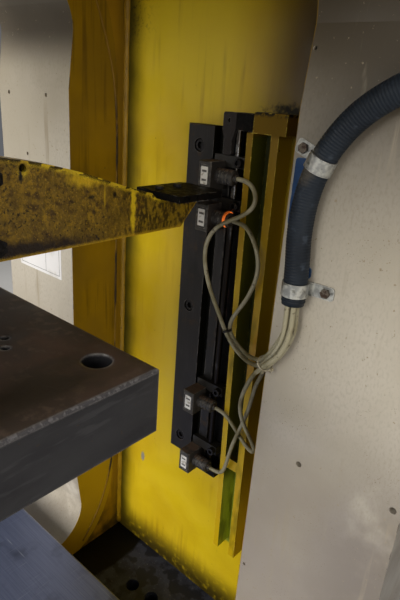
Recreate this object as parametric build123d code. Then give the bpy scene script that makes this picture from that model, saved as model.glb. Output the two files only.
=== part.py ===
"""Hydraulic C-frame press: two welded box side members joined by a wall, a head and a bed,
a hydraulic ram with a guided platen, and the position switches on the throat's back wall.
Millimetres. X points to the operator's right, Y to the back, Z up. The origin is on the
floor, at the centre of the four anchor bolts."""
from build123d import *
import math
import os

# Side members, each a closed box of plates
INNER_GAP = 407.0            # between the two members
MEMBER_WIDTH = 201.5         # of each member, along X
WEB = 25.0                   # inner and outer side plates
RIM = 30.0                   # flange round the outside of the C
SOLE = 40.0                  # bottom flange
BASE_DEPTH = 1220.0          # front to back, centred on the anchors
HEAD_SETBACK = 50.0          # the head's front behind the base's front
FRAME_HEIGHT = 2460.0
BACK_CHAMFER = (160.0, 210.0)

# Throat, the open mouth of the C
THROAT_BACK = 138.0          # Y of the throat's upright face
ARM_TOP = 778.0              # top of the lower arm
THROAT_HEIGHT = 1054.0
CORNER_RADIUS = 78.0
CORNER_RELIEF = 10.0         # how far the corners are cut deeper than the face
RELIEF_RUN = 82.0            # length of the slope into that cut
THROAT_BAR = 97.0            # thickness of the heavy bar behind the throat's face
ARM_BAR = 60.0               # thickness of the same bar along both arms
BAR_SWEEP = 2.3              # height of the bar's back corner, in corner radii
BAR_TANGENT = 1.4            # how far that corner bulges
FACE_HOLE_DEPTH = 20.0
# Small holes in the throat's faces: out from the inner face, above the lower arm, diameter
RIGHT_FACE_HOLES = [(67.5, 465.0, 8.0), (191.5, 472.0, 8.0), (7.5, 244.0, 5.0), (4.5, 953.0, 5.0)]
LEFT_FACE_HOLES = [(171.5, 881.0, 6.0), (61.5, 882.0, 6.0), (122.5, 784.0, 5.0)]

# Feet and anchors
EAR_OUT = 60.0
EAR_LENGTH = 120.0
EAR_ROUND = 18.0
ANCHOR_HOLE = 26.0
ANCHOR_OUT = 30.0            # hole's centre out from the member's side
ANCHOR_INSET = 110.0         # hole's centre in from the base's front and back

# Plates between the members
RECESS = 116.0               # from the throat's face back to the wall's face
WALL = 20.0
BED_DROP = 45.0              # bed plate's top below the lower arm's top
BED_PLATE = 30.0
BED_PAD = 300.0              # square pad under the middle of the bolster
HEAD_RISE = 18.0             # head block's underside above the upper arm's
HEAD_BLOCK = 100.0
HEAD_INSET = 20.0            # head block's front behind the head's
HEAD_DEPTH = 520.0
FRONT_PLATE = 20.0
FRONT_PLATE_INSET = 5.0
RIB = 40.0
DRAIN_HOLE = 27.0
DRAIN_HOLES = [(-55.5, 92.0), (-7.0, 86.0)]      # X, and how far in front of the wall

# Bolster
BOLSTER_INSET = 5.0          # its ends inside the members' outer faces
BOLSTER_DEPTH = 682.0
BOLSTER = 72.0               # thickness
BOLSTER_EDGE = 3.0
BOLSTER_SCREW_INSET = (50.0, 71.0)
BOLSTER_COUNTERBORE = (33.0, 22.0)
BOLSTER_SCREW = 20
BOLSTER_SCREW_BITE = 34.0    # length in the arm
BOLSTER_SCREW_SPARE = 1.0    # its hole's diameter over the screw's
BOLSTER_TAP = 14.0
BOLSTER_TAP_DEPTH = 40.0
BOLSTER_TAP_X = 500.0
BOLSTER_TAP_Y = 300.0
HOLE_SPARE = 6.0             # a blind hole is this much deeper than its screw

# Ram and cylinder, on one vertical axis
RAM_Y = -280.0
DAYLIGHT = 528.5             # from the bolster to the raised platen
STROKE = 500.0
RAM_DIAMETER = 140.0
BORE = 180.0
BARREL = 245.0
PISTON = 90.0
PISTON_SPIGOT = 80.0
END_GAP = 10.0               # left at each end of the piston's travel
CAP = 50.0
CAP_OVERHANG = 12.5
CAP_EDGE = 4.0
MOUNT_FLANGE = (380.0, 45.0)   # depth and thickness
FLANGE_CLEAR = 12.0          # between the flange and the guide columns
FLANGE_ROUND = 20.0
FLANGE_SCREW = 24
FLANGE_SCREW_INSET = (33.0, 30.0)
CAP_SCREW = 16
GLAND_SCREW = 12
RING_SCREWS = 8
GLAND_FLANGE = 35.0
GLAND_SPIGOT = 50.0
GLAND_INSET = 2.5
SMALL_EDGE = 3.0
RUNNING = 0.05               # radial clearance of a sliding fit

# Platen
PLATEN = (450.0, 400.0, 68.5)
PLATEN_EDGE = 2.5
PLATEN_TOP_EDGE = 3.0        # the broader chamfer round its top
TOOL_HOLE = 17.5
TOOL_COUNTERBORE = (28.0, 20.0)
TOOL_HOLE_INSET = (48.7, 33.6)
DOWELS = [(82.0, 130.0), (101.0, 119.5)]   # from the ram's axis
DOWEL = 9.0
RAM_FOOT = 220.0
RAM_FOOT_THICK = 40.0
RAM_SCREW = 16
RAM_SCREWS = 6
RAM_SCREW_CIRCLE = 180.0
RAM_SCREW_BITE = 35.0

# Guide columns beside the ram
GUIDE = 50.0
GUIDE_SPIGOT = 40.0
SPIGOT_DEPTH = 40.0
BUSH = 70.0
BUSH_FLANGE = 76.0
BUSH_FLANGE_THICK = 20.0
BUSH_SIDE_GAP = 0.5          # between a bush's flange and the member beside it

# Switch arm, clamped round the ram
COLLAR_WALL = 45.0
COLLAR_HEIGHT = 100.0
COLLAR_RISE = 59.0           # above the platen
COLLAR_SLIT = 6.0
COLLAR_EAR = (90.0, 45.0, 80.0)
PINCH_SCREW = 16
PINCH_SCREW_INSET = (22.0, 20.0)
ARM_LEFT = 9.0               # X of the face that the arm is bolted by
ARM_PLATE = 25.0
ARM_ROOT_OUT = 110.0         # from the ram's axis
ARM_HUMP = 7.0               # how far the arm's root stands over the collar
ARM_CROWN = [(0.28, 0.0), (0.55, 0.28), (0.8, 0.65)]   # shares of the way and of the fall to the flag
LUG = 25.0
LUG_LENGTH = 62.0            # past the arm's root
LUG_DROP = 3.0
ARM_BOLT = 10
ARM_BOLT_ALONG = (14.0, 44.0)    # from the arm's root
ARM_BOLT_RISE = (16.0, 84.0)     # above the collar's underside
ARM_HOLE = (78.0, 92.0, 8.0, 14.0)   # from the root, above the underside, diameter, depth
FLAG_SEAT_RISE = 44.0        # above the collar's underside
FLAG_STEP = 7.0
FLAG = (78.0, 90.0, 9.0)
FLAG_LEFT_OUT = 12.0         # the flag's left edge out from the arm's
FLAG_CORNER = 6.0
FLAG_SCREW = 6
FLAG_SCREW_LENGTH = 28.0
FLAG_SCREW_ALONG = (18.0, 53.0)
SENSING_GAP = 5.0            # between the flag and the switches' faces
ARM_TIP_SETBACK = (9.0, 40.0)    # tip behind the flag's edge, at the top and at the bottom
ARM_TIP_DROP = 12.0

# Switch rail on the wall
RAIL_LEFT = -39.0
RAIL_WIDTH = 85.0
RAIL_THICK = 20.0
RAIL_RISE = 279.0            # above the lower arm
RAIL_LENGTH = 581.0
RAIL_EDGE = 1.0
RAIL_SLOT = 18.0
RAIL_SLOT_INSET = 17.0       # from the rail's right edge
RAIL_SLOT_DEPTH = 15.0
RAIL_SLOT_FOOT = 12.0        # left closed at the bottom
RAIL_SCREW = 12
RAIL_SCREW_INSET = 23.0
RAIL_SCREW_ENDS = (32.0, 30.0)
RAIL_SCREW_BITE = 12.0
RAIL_COUNTERBORE = (20.0, 10.0)
RAIL_HOLE = 13.5
RAIL_GAP = 1.0               # between the rail and the bar beside it
BACKING = (31.5, 10.0)
GUIDE_ROD = 10.0
GUIDE_ROD_OUT = 11.5         # from the rail's right edge
GUIDE_ROD_OFF = 22.0         # from the wall
ROD_SEAT = 14.0              # how far the rod goes into its upper block
END_BLOCK_DEPTH = 32.0
END_BLOCK_LAP = 2.0          # upper block's foot below the rail's top
UPPER_BLOCK_RISE = 21.0
UPPER_BLOCK_OUT = 9.0        # past the backing bar
LOWER_BLOCK = (4.0, 13.0)    # below and above the rail's bottom
HANGER_HEAD = 11.0           # half widths of the hanger's head, neck and toe
HANGER_NECK = 6.0
HANGER_TOE = 7.5
HANGER_SHOULDER = 4.0
HANGER_DROP = 36.0
HANGER_ROUND = 3.0
HANGER_HOLE = 6.0

# Position switches
SWITCH = (22.0, 42.0, 40.0)
SWITCH_INSET = 14.0          # centre in from the rail's right edge
UPPER_SWITCHES = [65.0, 125.0]     # centres below the rail's top
LOWER_SWITCHES = [143.0, 21.0]     # centres above the rail's bottom
SWITCH_EDGE = 1.5
LABEL_POCKET = (3.0, 5.0, 0.6)     # inset at the sides, at the ends, depth
CLAMP_RISE = [20.0, 20.0, 24.0, 28.0]
CLAMP_EAR = 16.0
CLAMP_THICK = 9.5
CLAMP_HOOK = 6.0             # how far the clamp reaches in behind the rail's face
CLAMP_STEP = 2.0
CLAMP_SCREW = 8
CLAMP_SCREW_LENGTH = 12.0
CLAMP_SCREW_OUT = 23.0       # from the rail's right edge
CLAMP_TIP = 7.0              # past the screw
PLUG = 22.0
PLUG_LENGTH = 28.0
PLUG_EDGE = 2.0
PLUG_NOSE = (10.0, 4.0)
PLUG_GROOVE = (2.0, 1.0)
PLUG_GROOVE_PLACES = (6.0, 13.0, 20.0)

# Yellow flat-bar channel beside the rail
CHANNEL_DEPTH = 34.0
CHANNEL_RISE = 24.0          # above the rail
CHANNEL_DROP = 144.0         # below the rail
CHANNEL_BLOCK = 27.0
BLOCK_REACH = (9.5, 61.5)    # the top block's two sides, right of the backing bar
LEFT_BAR = (0.5, 15.5, 10.0)     # right of the backing bar at the top and the bottom, thickness
RIGHT_BAR = (39.5, 49.5, 12.0)
BRIDGE = (36.0, 20.0, 10.0)      # above the rail's bottom, height, depth
BRIDGE_BITE = 3.0

# Conduit, its clamps and the switch cables
CONDUIT = 28.0
CLAMP_WALL = 1.5
CLAMP_WIDTH = 16.0
CLAMPS = {"lower": (16.0, 1), "upper": (158.0, -1)}   # how far along, and which way the tab goes
TAB = (30.0, 2.0)            # length and thickness
TAB_MIDDLE = 27.0
TAB_ROUND = 4.0
TAB_SCREW = 6
TAB_SCREW_OUT = 32.0
CLAMP_WEB = (8.0, 4.0, 12.0)     # width, depth, how far out
CABLE = 6.3
JUNCTION_BOX = (120.0, 180.0, 240.0)
BOX_ROUND = 8.0
BOX_FRONT = 246.0
BOX_DROP = 109.0             # its bottom below the conduit's end
BOX_GLAND = 38.0

# Hydraulic unit inside the column
TANK_GAP = 16.0              # behind the wall
TANK_DEPTH = 300.0
TANK_HEIGHT = 820.0
TANK_BOTTOM = 80.0
TANK_WALL = 6.0
TANK_LID = 12.0
LID_HOLE = 120.0
FILLER = (60.0, 45.0)
FILLER_X = 150.0
BELL_HEIGHT = 98.0
BELL_FOOT = 105.0            # radius
BELL_WALL = (80.0, 86.0)     # radius at the foot and under the motor
BELL_BORE = 60.0             # radius
BELL_EYE = 40.0              # radius of the hole in its foot
BELL_RIM = 14.0
MOTOR_FLANGE = 110.0         # radius
MOTOR_BODY = 92.0
MOTOR_COVER = 100.0
MOTOR_HEIGHT = 360.0
COVER_HEIGHT = 76.0
COVER_STEP = 4.0
COVER_ROUND = (12.0, 10.0)    # inwards and downwards
SHAFT = 14.0                 # radius
SHAFT_LENGTH = 40.0
FIN = (16.0, 4.0, 250.0)
FINS = 18
FIN_BITE = 4.0
TERMINAL_BOX = (90.0, 60.0, 80.0)
PUMP_BODY = (50.0, 170.0)    # radius and depth under the lid
PUMP_FLANGE = (58.0, 16.0)
PUMP_NECK = (12.0, 50.0)
VALVE_BLOCK = (150.0, 110.0, 120.0)
VALVE_DROP = 470.0           # its underside below the wall's top
VALVE_BODY = (80.0, 50.0, 44.0)
VALVE_BODY_RISE = (32.0, 88.0)
SOLENOID = (40.0, 65.0)      # diameter and length
PIPE = 22.0
PIPE_BEND = 40.0
TANK_PIPE_X = 50.0
TANK_PIPE_SWING = 140.0
TANK_PIPE_FALL = 110.0
CYLINDER_PIPE_X = 30.0
CYLINDER_PIPE_STEP = 30.0

# Hexagon head: across the flats and height, by thread
HEX_HEAD = {6: (10.0, 4.0), 10: (17.0, 7.0), 12: (18.0, 8.0), 16: (24.0, 10.0), 24: (36.0, 15.0)}
# Socket head: diameter and height, by thread
SOCKET_HEAD = {8: (13.0, 8.0), 12: (18.0, 8.0), 20: (30.0, 20.0)}
KEY_SHARE = 0.46             # the socket's corner radius, as a share of the thread

# Worked out from the values above
INNER_X = INNER_GAP / 2
OUTER_X = INNER_X + MEMBER_WIDTH
FRONT_Y = -BASE_DEPTH / 2
HEAD_FRONT = FRONT_Y + HEAD_SETBACK
ANCHOR_X = 2 * (OUTER_X + ANCHOR_OUT)
ANCHOR_Y = BASE_DEPTH - 2 * ANCHOR_INSET
ARM_UNDER = ARM_TOP + THROAT_HEIGHT
WALL_FACE = THROAT_BACK + RECESS
WALL_BACK = WALL_FACE + WALL
BED_PLATE_TOP = ARM_TOP - BED_DROP
HEAD_BOTTOM = ARM_UNDER + HEAD_RISE
HEAD_TOP = HEAD_BOTTOM + HEAD_BLOCK
BOLSTER_TOP = ARM_TOP + BOLSTER
BOLSTER_HALF = OUTER_X - BOLSTER_INSET
BOLSTER_SCREW_X = BOLSTER_HALF - BOLSTER_SCREW_INSET[0]
BOLSTER_SCREW_Y = BOLSTER_DEPTH / 2 - BOLSTER_SCREW_INSET[1]
PLATEN_BOTTOM = BOLSTER_TOP + DAYLIGHT
PLATEN_TOP = PLATEN_BOTTOM + PLATEN[2]
FOOT_TOP = PLATEN_TOP + RAM_FOOT_THICK
GLAND_TOP = HEAD_BOTTOM + GLAND_SPIGOT
PISTON_BOTTOM = GLAND_TOP + END_GAP + STROKE
BARREL_TOP = PISTON_BOTTOM + PISTON + END_GAP
CAP_DIAMETER = BARREL + 2 * CAP_OVERHANG
SCREW_RING = (BORE + BARREL) / 2
GUIDE_X = INNER_X - BUSH_SIDE_GAP - BUSH_FLANGE / 2
GUIDE_TOP = HEAD_TOP + STROKE - END_GAP
FLANGE_HALF = GUIDE_X - GUIDE / 2 - FLANGE_CLEAR
COLLAR = RAM_DIAMETER + 2 * COLLAR_WALL
COLLAR_BOTTOM = PLATEN_TOP + COLLAR_RISE
COLLAR_TOP = COLLAR_BOTTOM + COLLAR_HEIGHT
ARM_ROOT = RAM_Y + ARM_ROOT_OUT
ARM_RIGHT = ARM_LEFT + ARM_PLATE
FLAG_SEAT = COLLAR_BOTTOM + FLAG_SEAT_RISE
RAIL_RIGHT = RAIL_LEFT + RAIL_WIDTH
RAIL_FACE = WALL_FACE - RAIL_THICK
RAIL_BOTTOM = ARM_TOP + RAIL_RISE
RAIL_TOP = RAIL_BOTTOM + RAIL_LENGTH
RAIL_SCREW_X = RAIL_LEFT + RAIL_SCREW_INSET
LOW_SCREW = RAIL_BOTTOM + RAIL_SCREW_ENDS[0]
TOP_SCREW = RAIL_TOP - RAIL_SCREW_ENDS[1]
RAIL_SCREWS = [TOP_SCREW, (LOW_SCREW + TOP_SCREW) / 2, LOW_SCREW]
BACKING_LEFT = RAIL_RIGHT + RAIL_GAP
BACKING_RIGHT = BACKING_LEFT + BACKING[0]
GUIDE_ROD_X = RAIL_RIGHT + GUIDE_ROD_OUT
GUIDE_ROD_Y = WALL_FACE - GUIDE_ROD_OFF
HANGER_FOOT = RAIL_TOP - HANGER_DROP
SWITCH_LEFT = RAIL_RIGHT - SWITCH_INSET - SWITCH[0] / 2
SWITCH_RIGHT = SWITCH_LEFT + SWITCH[0]
SWITCH_FRONT = RAIL_FACE - SWITCH[1]
SWITCH_Z = [RAIL_TOP - drop for drop in UPPER_SWITCHES]
SWITCH_Z += [RAIL_BOTTOM + rise for rise in LOWER_SWITCHES]
CLAMP_SCREW_X = RAIL_RIGHT + CLAMP_SCREW_OUT
PLUG_Y = RAIL_FACE - SWITCH[1] / 2
FLAG_END = SWITCH_FRONT - SENSING_GAP
FLAG_START = FLAG_END - FLAG[1]
FLAG_LEFT = ARM_LEFT - FLAG_LEFT_OUT
CHANNEL_TOP = RAIL_TOP + CHANNEL_RISE
CHANNEL_BOTTOM = RAIL_BOTTOM - CHANNEL_DROP
CONDUIT_Y = THROAT_BACK - CONDUIT / 2 - CLAMP_WALL
TANK_FRONT = WALL_BACK + TANK_GAP
MOTOR_Y = TANK_FRONT + TANK_DEPTH / 2
TANK_TOP = TANK_BOTTOM + TANK_HEIGHT
LID_TOP = TANK_TOP + TANK_LID
VALVE_BOTTOM = HEAD_TOP - VALVE_DROP

CONDUIT_ROUTE = [
    (237.0, CONDUIT_Y, 1464.0), (237.0, CONDUIT_Y, 1497.0), (231.5, CONDUIT_Y, 1548.0),
    (236.5, CONDUIT_Y, 1598.0), (254.0, CONDUIT_Y, 1640.0), (283.0, CONDUIT_Y, 1676.0),
    (325.0, CONDUIT_Y, 1702.0), (375.0, CONDUIT_Y, 1724.0), (420.0, CONDUIT_Y, 1735.0),
    (457.0, 144.0, 1744.0), (478.0, 182.0, 1749.0), (478.0, 226.0, 1749.0),
]
CABLE_ROUTES = {
    "cable_1": [
        (75, 213, 1573), (91, 213, 1573), (106, 209, 1566), (115, 205, 1554), (114, 202, 1541),
        (102, 199, 1529), (84, 196, 1519), (64, 196, 1508), (49, 197, 1493), (40, 199, 1475),
        (36, 202, 1454), (39, 204, 1431), (47, 205, 1408), (60, 205, 1386), (75, 204, 1364),
        (90, 202, 1344), (109, 199, 1330), (130, 192, 1325), (149, 176, 1329), (173, 146, 1344),
        (197, 120, 1369), (215, 118, 1399), (228, 118, 1425), (233, 119, 1445), (233, 119, 1464),
    ],
    "cable_2": [
        (75, 213, 1513), (91, 213, 1513), (104, 211, 1507), (115, 209, 1496), (124, 207, 1481),
        (129, 206, 1462), (128, 206, 1440), (121, 207, 1417), (111, 209, 1394), (101, 210, 1372),
        (98, 210, 1352), (110, 207, 1338), (130, 200, 1333), (151, 184, 1335), (177, 152, 1347),
        (200, 126, 1372), (215, 126, 1399), (227, 126, 1424), (233, 127, 1445), (233, 127, 1464),
    ],
    "cable_3": [
        (75, 213, 1200), (93, 213, 1200), (112, 212, 1187), (130, 211, 1173), (147, 207, 1165),
        (162, 201, 1166), (169, 196, 1177), (163, 193, 1192), (151, 192, 1207), (141, 191, 1224),
        (136, 190, 1244), (137, 188, 1265), (144, 184, 1287), (156, 170, 1311), (179, 143, 1336),
        (203, 119, 1362), (223, 118, 1396), (236, 118, 1425), (241, 119, 1445), (241, 119, 1464),
    ],
    "cable_4": [
        (75, 213, 1078), (91, 213, 1078), (104, 210, 1088), (111, 207, 1107), (116, 205, 1131),
        (122, 204, 1158), (130, 203, 1184), (138, 203, 1209), (145, 202, 1235), (151, 199, 1261),
        (158, 193, 1287), (168, 181, 1313), (184, 152, 1341), (206, 126, 1366), (223, 126, 1396),
        (235, 126, 1424), (241, 127, 1445), (241, 127, 1464),
    ],
}


def block(x0, x1, y0, y1, z0, z1):
    """A box between two corners."""
    return Pos((x0 + x1) / 2, (y0 + y1) / 2, (z0 + z1) / 2) * Box(x1 - x0, y1 - y0, z1 - z0)


def rod_z(x, y, z0, z1, diameter):
    return Pos(x, y, (z0 + z1) / 2) * Cylinder(diameter / 2, z1 - z0)


def rod_y(x, z, y0, y1, diameter):
    return Pos(x, (y0 + y1) / 2, z) * Rot(90, 0, 0) * Cylinder(diameter / 2, y1 - y0)


def rod_x(y, z, x0, x1, diameter):
    return Pos((x0 + x1) / 2, y, z) * Rot(0, 90, 0) * Cylinder(diameter / 2, x1 - x0)


def upright(sketch, x0, x1):
    """Extrude a sketch of (Y, Z) points along X."""
    return extrude(Plane.YZ.offset(x0) * sketch, x1 - x0)


def save(name, shape):
    """Write one piece, as a single solid where it has one and as a group otherwise."""
    solids = shape.solids()
    body = solids[0] if len(solids) == 1 else Compound(children=list(solids))
    body.label = name
    export_step(body, f"parts/{name}.step")


def both_sides(name, shape):
    save(f"right_{name}", shape)
    save(f"left_{name}", mirror(shape, about=Plane.YZ))


def head_size(heads, thread):
    """The listed head whose thread is the nearest."""
    return heads[min(heads, key=lambda listed: abs(listed - thread))]


def hex_head(thread):
    across_flats, height = head_size(HEX_HEAD, thread)
    return extrude(RegularPolygon(across_flats / 2, 6, major_radius=False), height)


def hex_bolt(thread, length):
    """A hexagon bolt, head up, with the underside of its head at Z = 0."""
    return hex_head(thread) + Pos(0, 0, -length / 2) * Cylinder(thread / 2, length)


def socket_screw(thread, length):
    """A socket cap screw, head up, with the underside of its head at Z = 0."""
    head, height = head_size(SOCKET_HEAD, thread)
    screw = Pos(0, 0, height / 2) * Cylinder(head / 2, height)
    screw = chamfer(screw.edges().sort_by(Axis.Z)[-1], height * 0.08)
    screw += Pos(0, 0, -length / 2) * Cylinder(thread / 2, length)
    key = RegularPolygon(thread * KEY_SHARE, 6)
    return screw - Pos(0, 0, height * 0.45) * extrude(key, height)


def facing_front(x, y, z):
    """Turns a screw that points up so that its head faces the operator."""
    return Pos(x, y, z) * Rot(90, 0, 0)


def facing_right(x, y, z):
    return Pos(x, y, z) * Rot(0, 90, 0)


def ring(count, circle, phase=0.0):
    """Places round the ram's axis."""
    places = []
    for number in range(count):
        angle = math.radians(phase + 360 * number / count)
        places.append(Pos(circle / 2 * math.cos(angle), RAM_Y + circle / 2 * math.sin(angle), 0))
    return places


def routed_path(route):
    """Straight runs joined by tangent arcs, as large as the runs allow."""
    points = [Vector(*point) for point in route]
    runs = [b - a for a, b in zip(points, points[1:])]
    radii = []
    for before, after in zip(runs, runs[1:]):
        half_turn = math.radians(before.get_angle(after)) / 2
        radii.append(0.45 * min(before.length, after.length) / math.tan(half_turn))
    print(f"{len(route)} points, radii {min(radii):.0f} to {max(radii):.0f}")
    return FilletPolyline(*points, radius=radii)


def routed_tube(path, diameter):
    section = Plane(origin=path @ 0, z_dir=path % 0) * Circle(diameter / 2)
    tube = sweep(section, path=path)
    share = tube.volume / (math.pi * diameter ** 2 / 4 * path.length)
    print(f"tube {diameter} mm, length {path.length:.0f}, volume share {share:.4f}")
    return tube


def bent_pipe(route):
    """A rigid pipe with the same bend at every corner."""
    path = FilletPolyline(*[Vector(*point) for point in route], radius=PIPE_BEND)
    start = Vector(*route[1]) - Vector(*route[0])
    return sweep(Plane(origin=route[0], z_dir=start) * Circle(PIPE / 2), path=path)


def throat_edge(front):
    """The C's mouth as a closed sketch of (Y, Z), open at the front."""
    deep = THROAT_BACK + CORNER_RELIEF
    start = deep - CORNER_RADIUS
    low = ARM_TOP + CORNER_RADIUS
    high = ARM_UNDER - CORNER_RADIUS
    diagonal = CORNER_RADIUS * math.sqrt(0.5)
    edges = [
        Line((front, ARM_TOP), (start, ARM_TOP)),
        ThreePointArc((start, ARM_TOP), (start + diagonal, low - diagonal), (deep, low)),
        Line((deep, low), (THROAT_BACK, low + RELIEF_RUN)),
        Line((THROAT_BACK, low + RELIEF_RUN), (THROAT_BACK, high - RELIEF_RUN)),
        Line((THROAT_BACK, high - RELIEF_RUN), (deep, high)),
        ThreePointArc((deep, high), (start + diagonal, high + diagonal), (start, ARM_UNDER)),
        Line((start, ARM_UNDER), (front, ARM_UNDER)),
        Line((front, ARM_UNDER), (front, ARM_TOP)),
    ]
    return make_face(Wire(edges))


def bar_edge(front):
    """The back of the heavy throat bar, closed at the front in the same way."""
    back = THROAT_BACK + THROAT_BAR
    corner = THROAT_BACK - CORNER_RADIUS
    low = ARM_TOP - ARM_BAR
    high = ARM_UNDER + ARM_BAR
    rise = ARM_BAR + BAR_SWEEP * CORNER_RADIUS
    edges = [
        Line((front, low), (corner, low)),
        Spline((corner, low), (back, low + rise), tangents=[(BAR_TANGENT, 0), (0, 1)]),
        Line((back, low + rise), (back, high - rise)),
        Spline((back, high - rise), (corner, high), tangents=[(0, 1), (-BAR_TANGENT, 0)]),
        Line((corner, high), (front, high)),
        Line((front, high), (front, low)),
    ]
    return make_face(Wire(edges))


def member_outline(inset, bottom):
    """The whole side of the press as a sketch, drawn in from its outside by a flange."""
    back = BASE_DEPTH / 2 - inset
    top = FRAME_HEIGHT - inset
    middle = ARM_TOP + THROAT_HEIGHT / 2
    slope_y, slope_z = BACK_CHAMFER
    corners = [
        (FRONT_Y + inset, bottom), (back, bottom), (back, FRAME_HEIGHT - slope_z),
        (BASE_DEPTH / 2 - slope_y, top), (HEAD_FRONT + inset, top),
        (HEAD_FRONT + inset, middle), (FRONT_Y + inset, middle),
    ]
    return make_face(Polyline(*corners, close=True))


def throat_bar(outline, face_holes):
    """One bar on the right, with its bolster screws' holes and its small face holes."""
    bar = upright(outline, INNER_X, OUTER_X)
    for out, rise, diameter in face_holes:
        bar -= rod_y(INNER_X + out, ARM_TOP + rise, 0, THROAT_BACK + FACE_HOLE_DEPTH, diameter)
    depth = BOLSTER_SCREW_BITE + HOLE_SPARE
    for y in (RAM_Y - BOLSTER_SCREW_Y, RAM_Y + BOLSTER_SCREW_Y):
        bar -= rod_z(BOLSTER_SCREW_X, y, ARM_TOP - depth, ARM_TOP, BOLSTER_SCREW)
    return bar


def side_members():
    reach = 2 * FRONT_Y
    behind_bar = bar_edge(reach)
    outside = member_outline(0, 0)
    inside = member_outline(RIM, SOLE)
    bar_outline = (outside - throat_edge(reach)) & behind_bar
    save("right_throat_bar", throat_bar(bar_outline, RIGHT_FACE_HOLES))
    save("left_throat_bar", mirror(throat_bar(bar_outline, LEFT_FACE_HOLES), about=Plane.YZ))

    rim = upright((outside - inside) - behind_bar, INNER_X, OUTER_X)
    for y in (-ANCHOR_Y / 2, ANCHOR_Y / 2):
        half = EAR_LENGTH / 2
        ear = block(OUTER_X, OUTER_X + EAR_OUT, y - half, y + half, 0, SOLE)
        ear = fillet(ear.edges().filter_by(Axis.Z).sort_by(Axis.X)[-2:], EAR_ROUND)
        rim += ear - rod_z(ANCHOR_X / 2, y, 0, SOLE, ANCHOR_HOLE)
    both_sides("rim", rim)

    plate = inside - behind_bar
    both_sides("inner_web", upright(plate, INNER_X, INNER_X + WEB))
    both_sides("outer_web", upright(plate, OUTER_X - WEB, OUTER_X))


def cross_plates():
    bed_under = BED_PLATE_TOP - BED_PLATE
    wall = block(-INNER_X, INNER_X, WALL_FACE, WALL_BACK, bed_under, HEAD_TOP)
    for z in RAIL_SCREWS:
        wall -= rod_y(RAIL_SCREW_X, z, WALL_FACE, WALL_FACE + RAIL_SCREW_BITE, RAIL_SCREW)
    save("back_wall", wall)

    front = FRONT_Y + FRONT_PLATE_INSET
    bed = block(-INNER_X, INNER_X, front, WALL_FACE, bed_under, BED_PLATE_TOP)
    bed += block(-BED_PAD / 2, BED_PAD / 2, RAM_Y - BED_PAD / 2, RAM_Y + BED_PAD / 2,
                 BED_PLATE_TOP, ARM_TOP)
    for x, before_wall in DRAIN_HOLES:
        bed -= rod_z(x, WALL_FACE - before_wall, bed_under, BED_PLATE_TOP, DRAIN_HOLE)
    save("bed_floor_plate", bed)
    save("bed_front_plate", block(-INNER_X, INNER_X, front, front + FRONT_PLATE, SOLE, bed_under))
    save("bed_rib", block(-RIB / 2, RIB / 2, front + FRONT_PLATE, WALL_FACE, SOLE, bed_under))

    head_front = HEAD_FRONT + HEAD_INSET
    head = block(-INNER_X, INNER_X, head_front, head_front + HEAD_DEPTH, HEAD_BOTTOM, HEAD_TOP)
    head -= rod_z(0, RAM_Y, HEAD_BOTTOM, HEAD_TOP, BARREL)
    for x in (-GUIDE_X, GUIDE_X):
        head -= rod_z(x, RAM_Y, HEAD_BOTTOM, HEAD_TOP, BUSH)
    save("head_block", head)


def bolster():
    half = BOLSTER_DEPTH / 2
    bore, bore_depth = BOLSTER_COUNTERBORE
    seat = BOLSTER_TOP - bore_depth
    slab = block(-BOLSTER_HALF, BOLSTER_HALF, RAM_Y - half, RAM_Y + half, ARM_TOP, BOLSTER_TOP)
    slab = chamfer(slab.edges(), BOLSTER_EDGE)
    screws = []
    for x in (-BOLSTER_SCREW_X, BOLSTER_SCREW_X):
        for y in (RAM_Y - BOLSTER_SCREW_Y, RAM_Y + BOLSTER_SCREW_Y):
            slab -= rod_z(x, y, ARM_TOP, BOLSTER_TOP, BOLSTER_SCREW + BOLSTER_SCREW_SPARE)
            slab -= rod_z(x, y, seat, BOLSTER_TOP, bore)
            screws.append(Pos(x, y, seat) * socket_screw(BOLSTER_SCREW, seat - ARM_TOP + BOLSTER_SCREW_BITE))
    for x in (-BOLSTER_TAP_X / 2, BOLSTER_TAP_X / 2):
        for y in (RAM_Y - BOLSTER_TAP_Y / 2, RAM_Y + BOLSTER_TAP_Y / 2):
            slab -= rod_z(x, y, BOLSTER_TOP - BOLSTER_TAP_DEPTH, BOLSTER_TOP, BOLSTER_TAP)
    save("bolster", slab)
    save("bolster_screws", Compound(children=screws))


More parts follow.
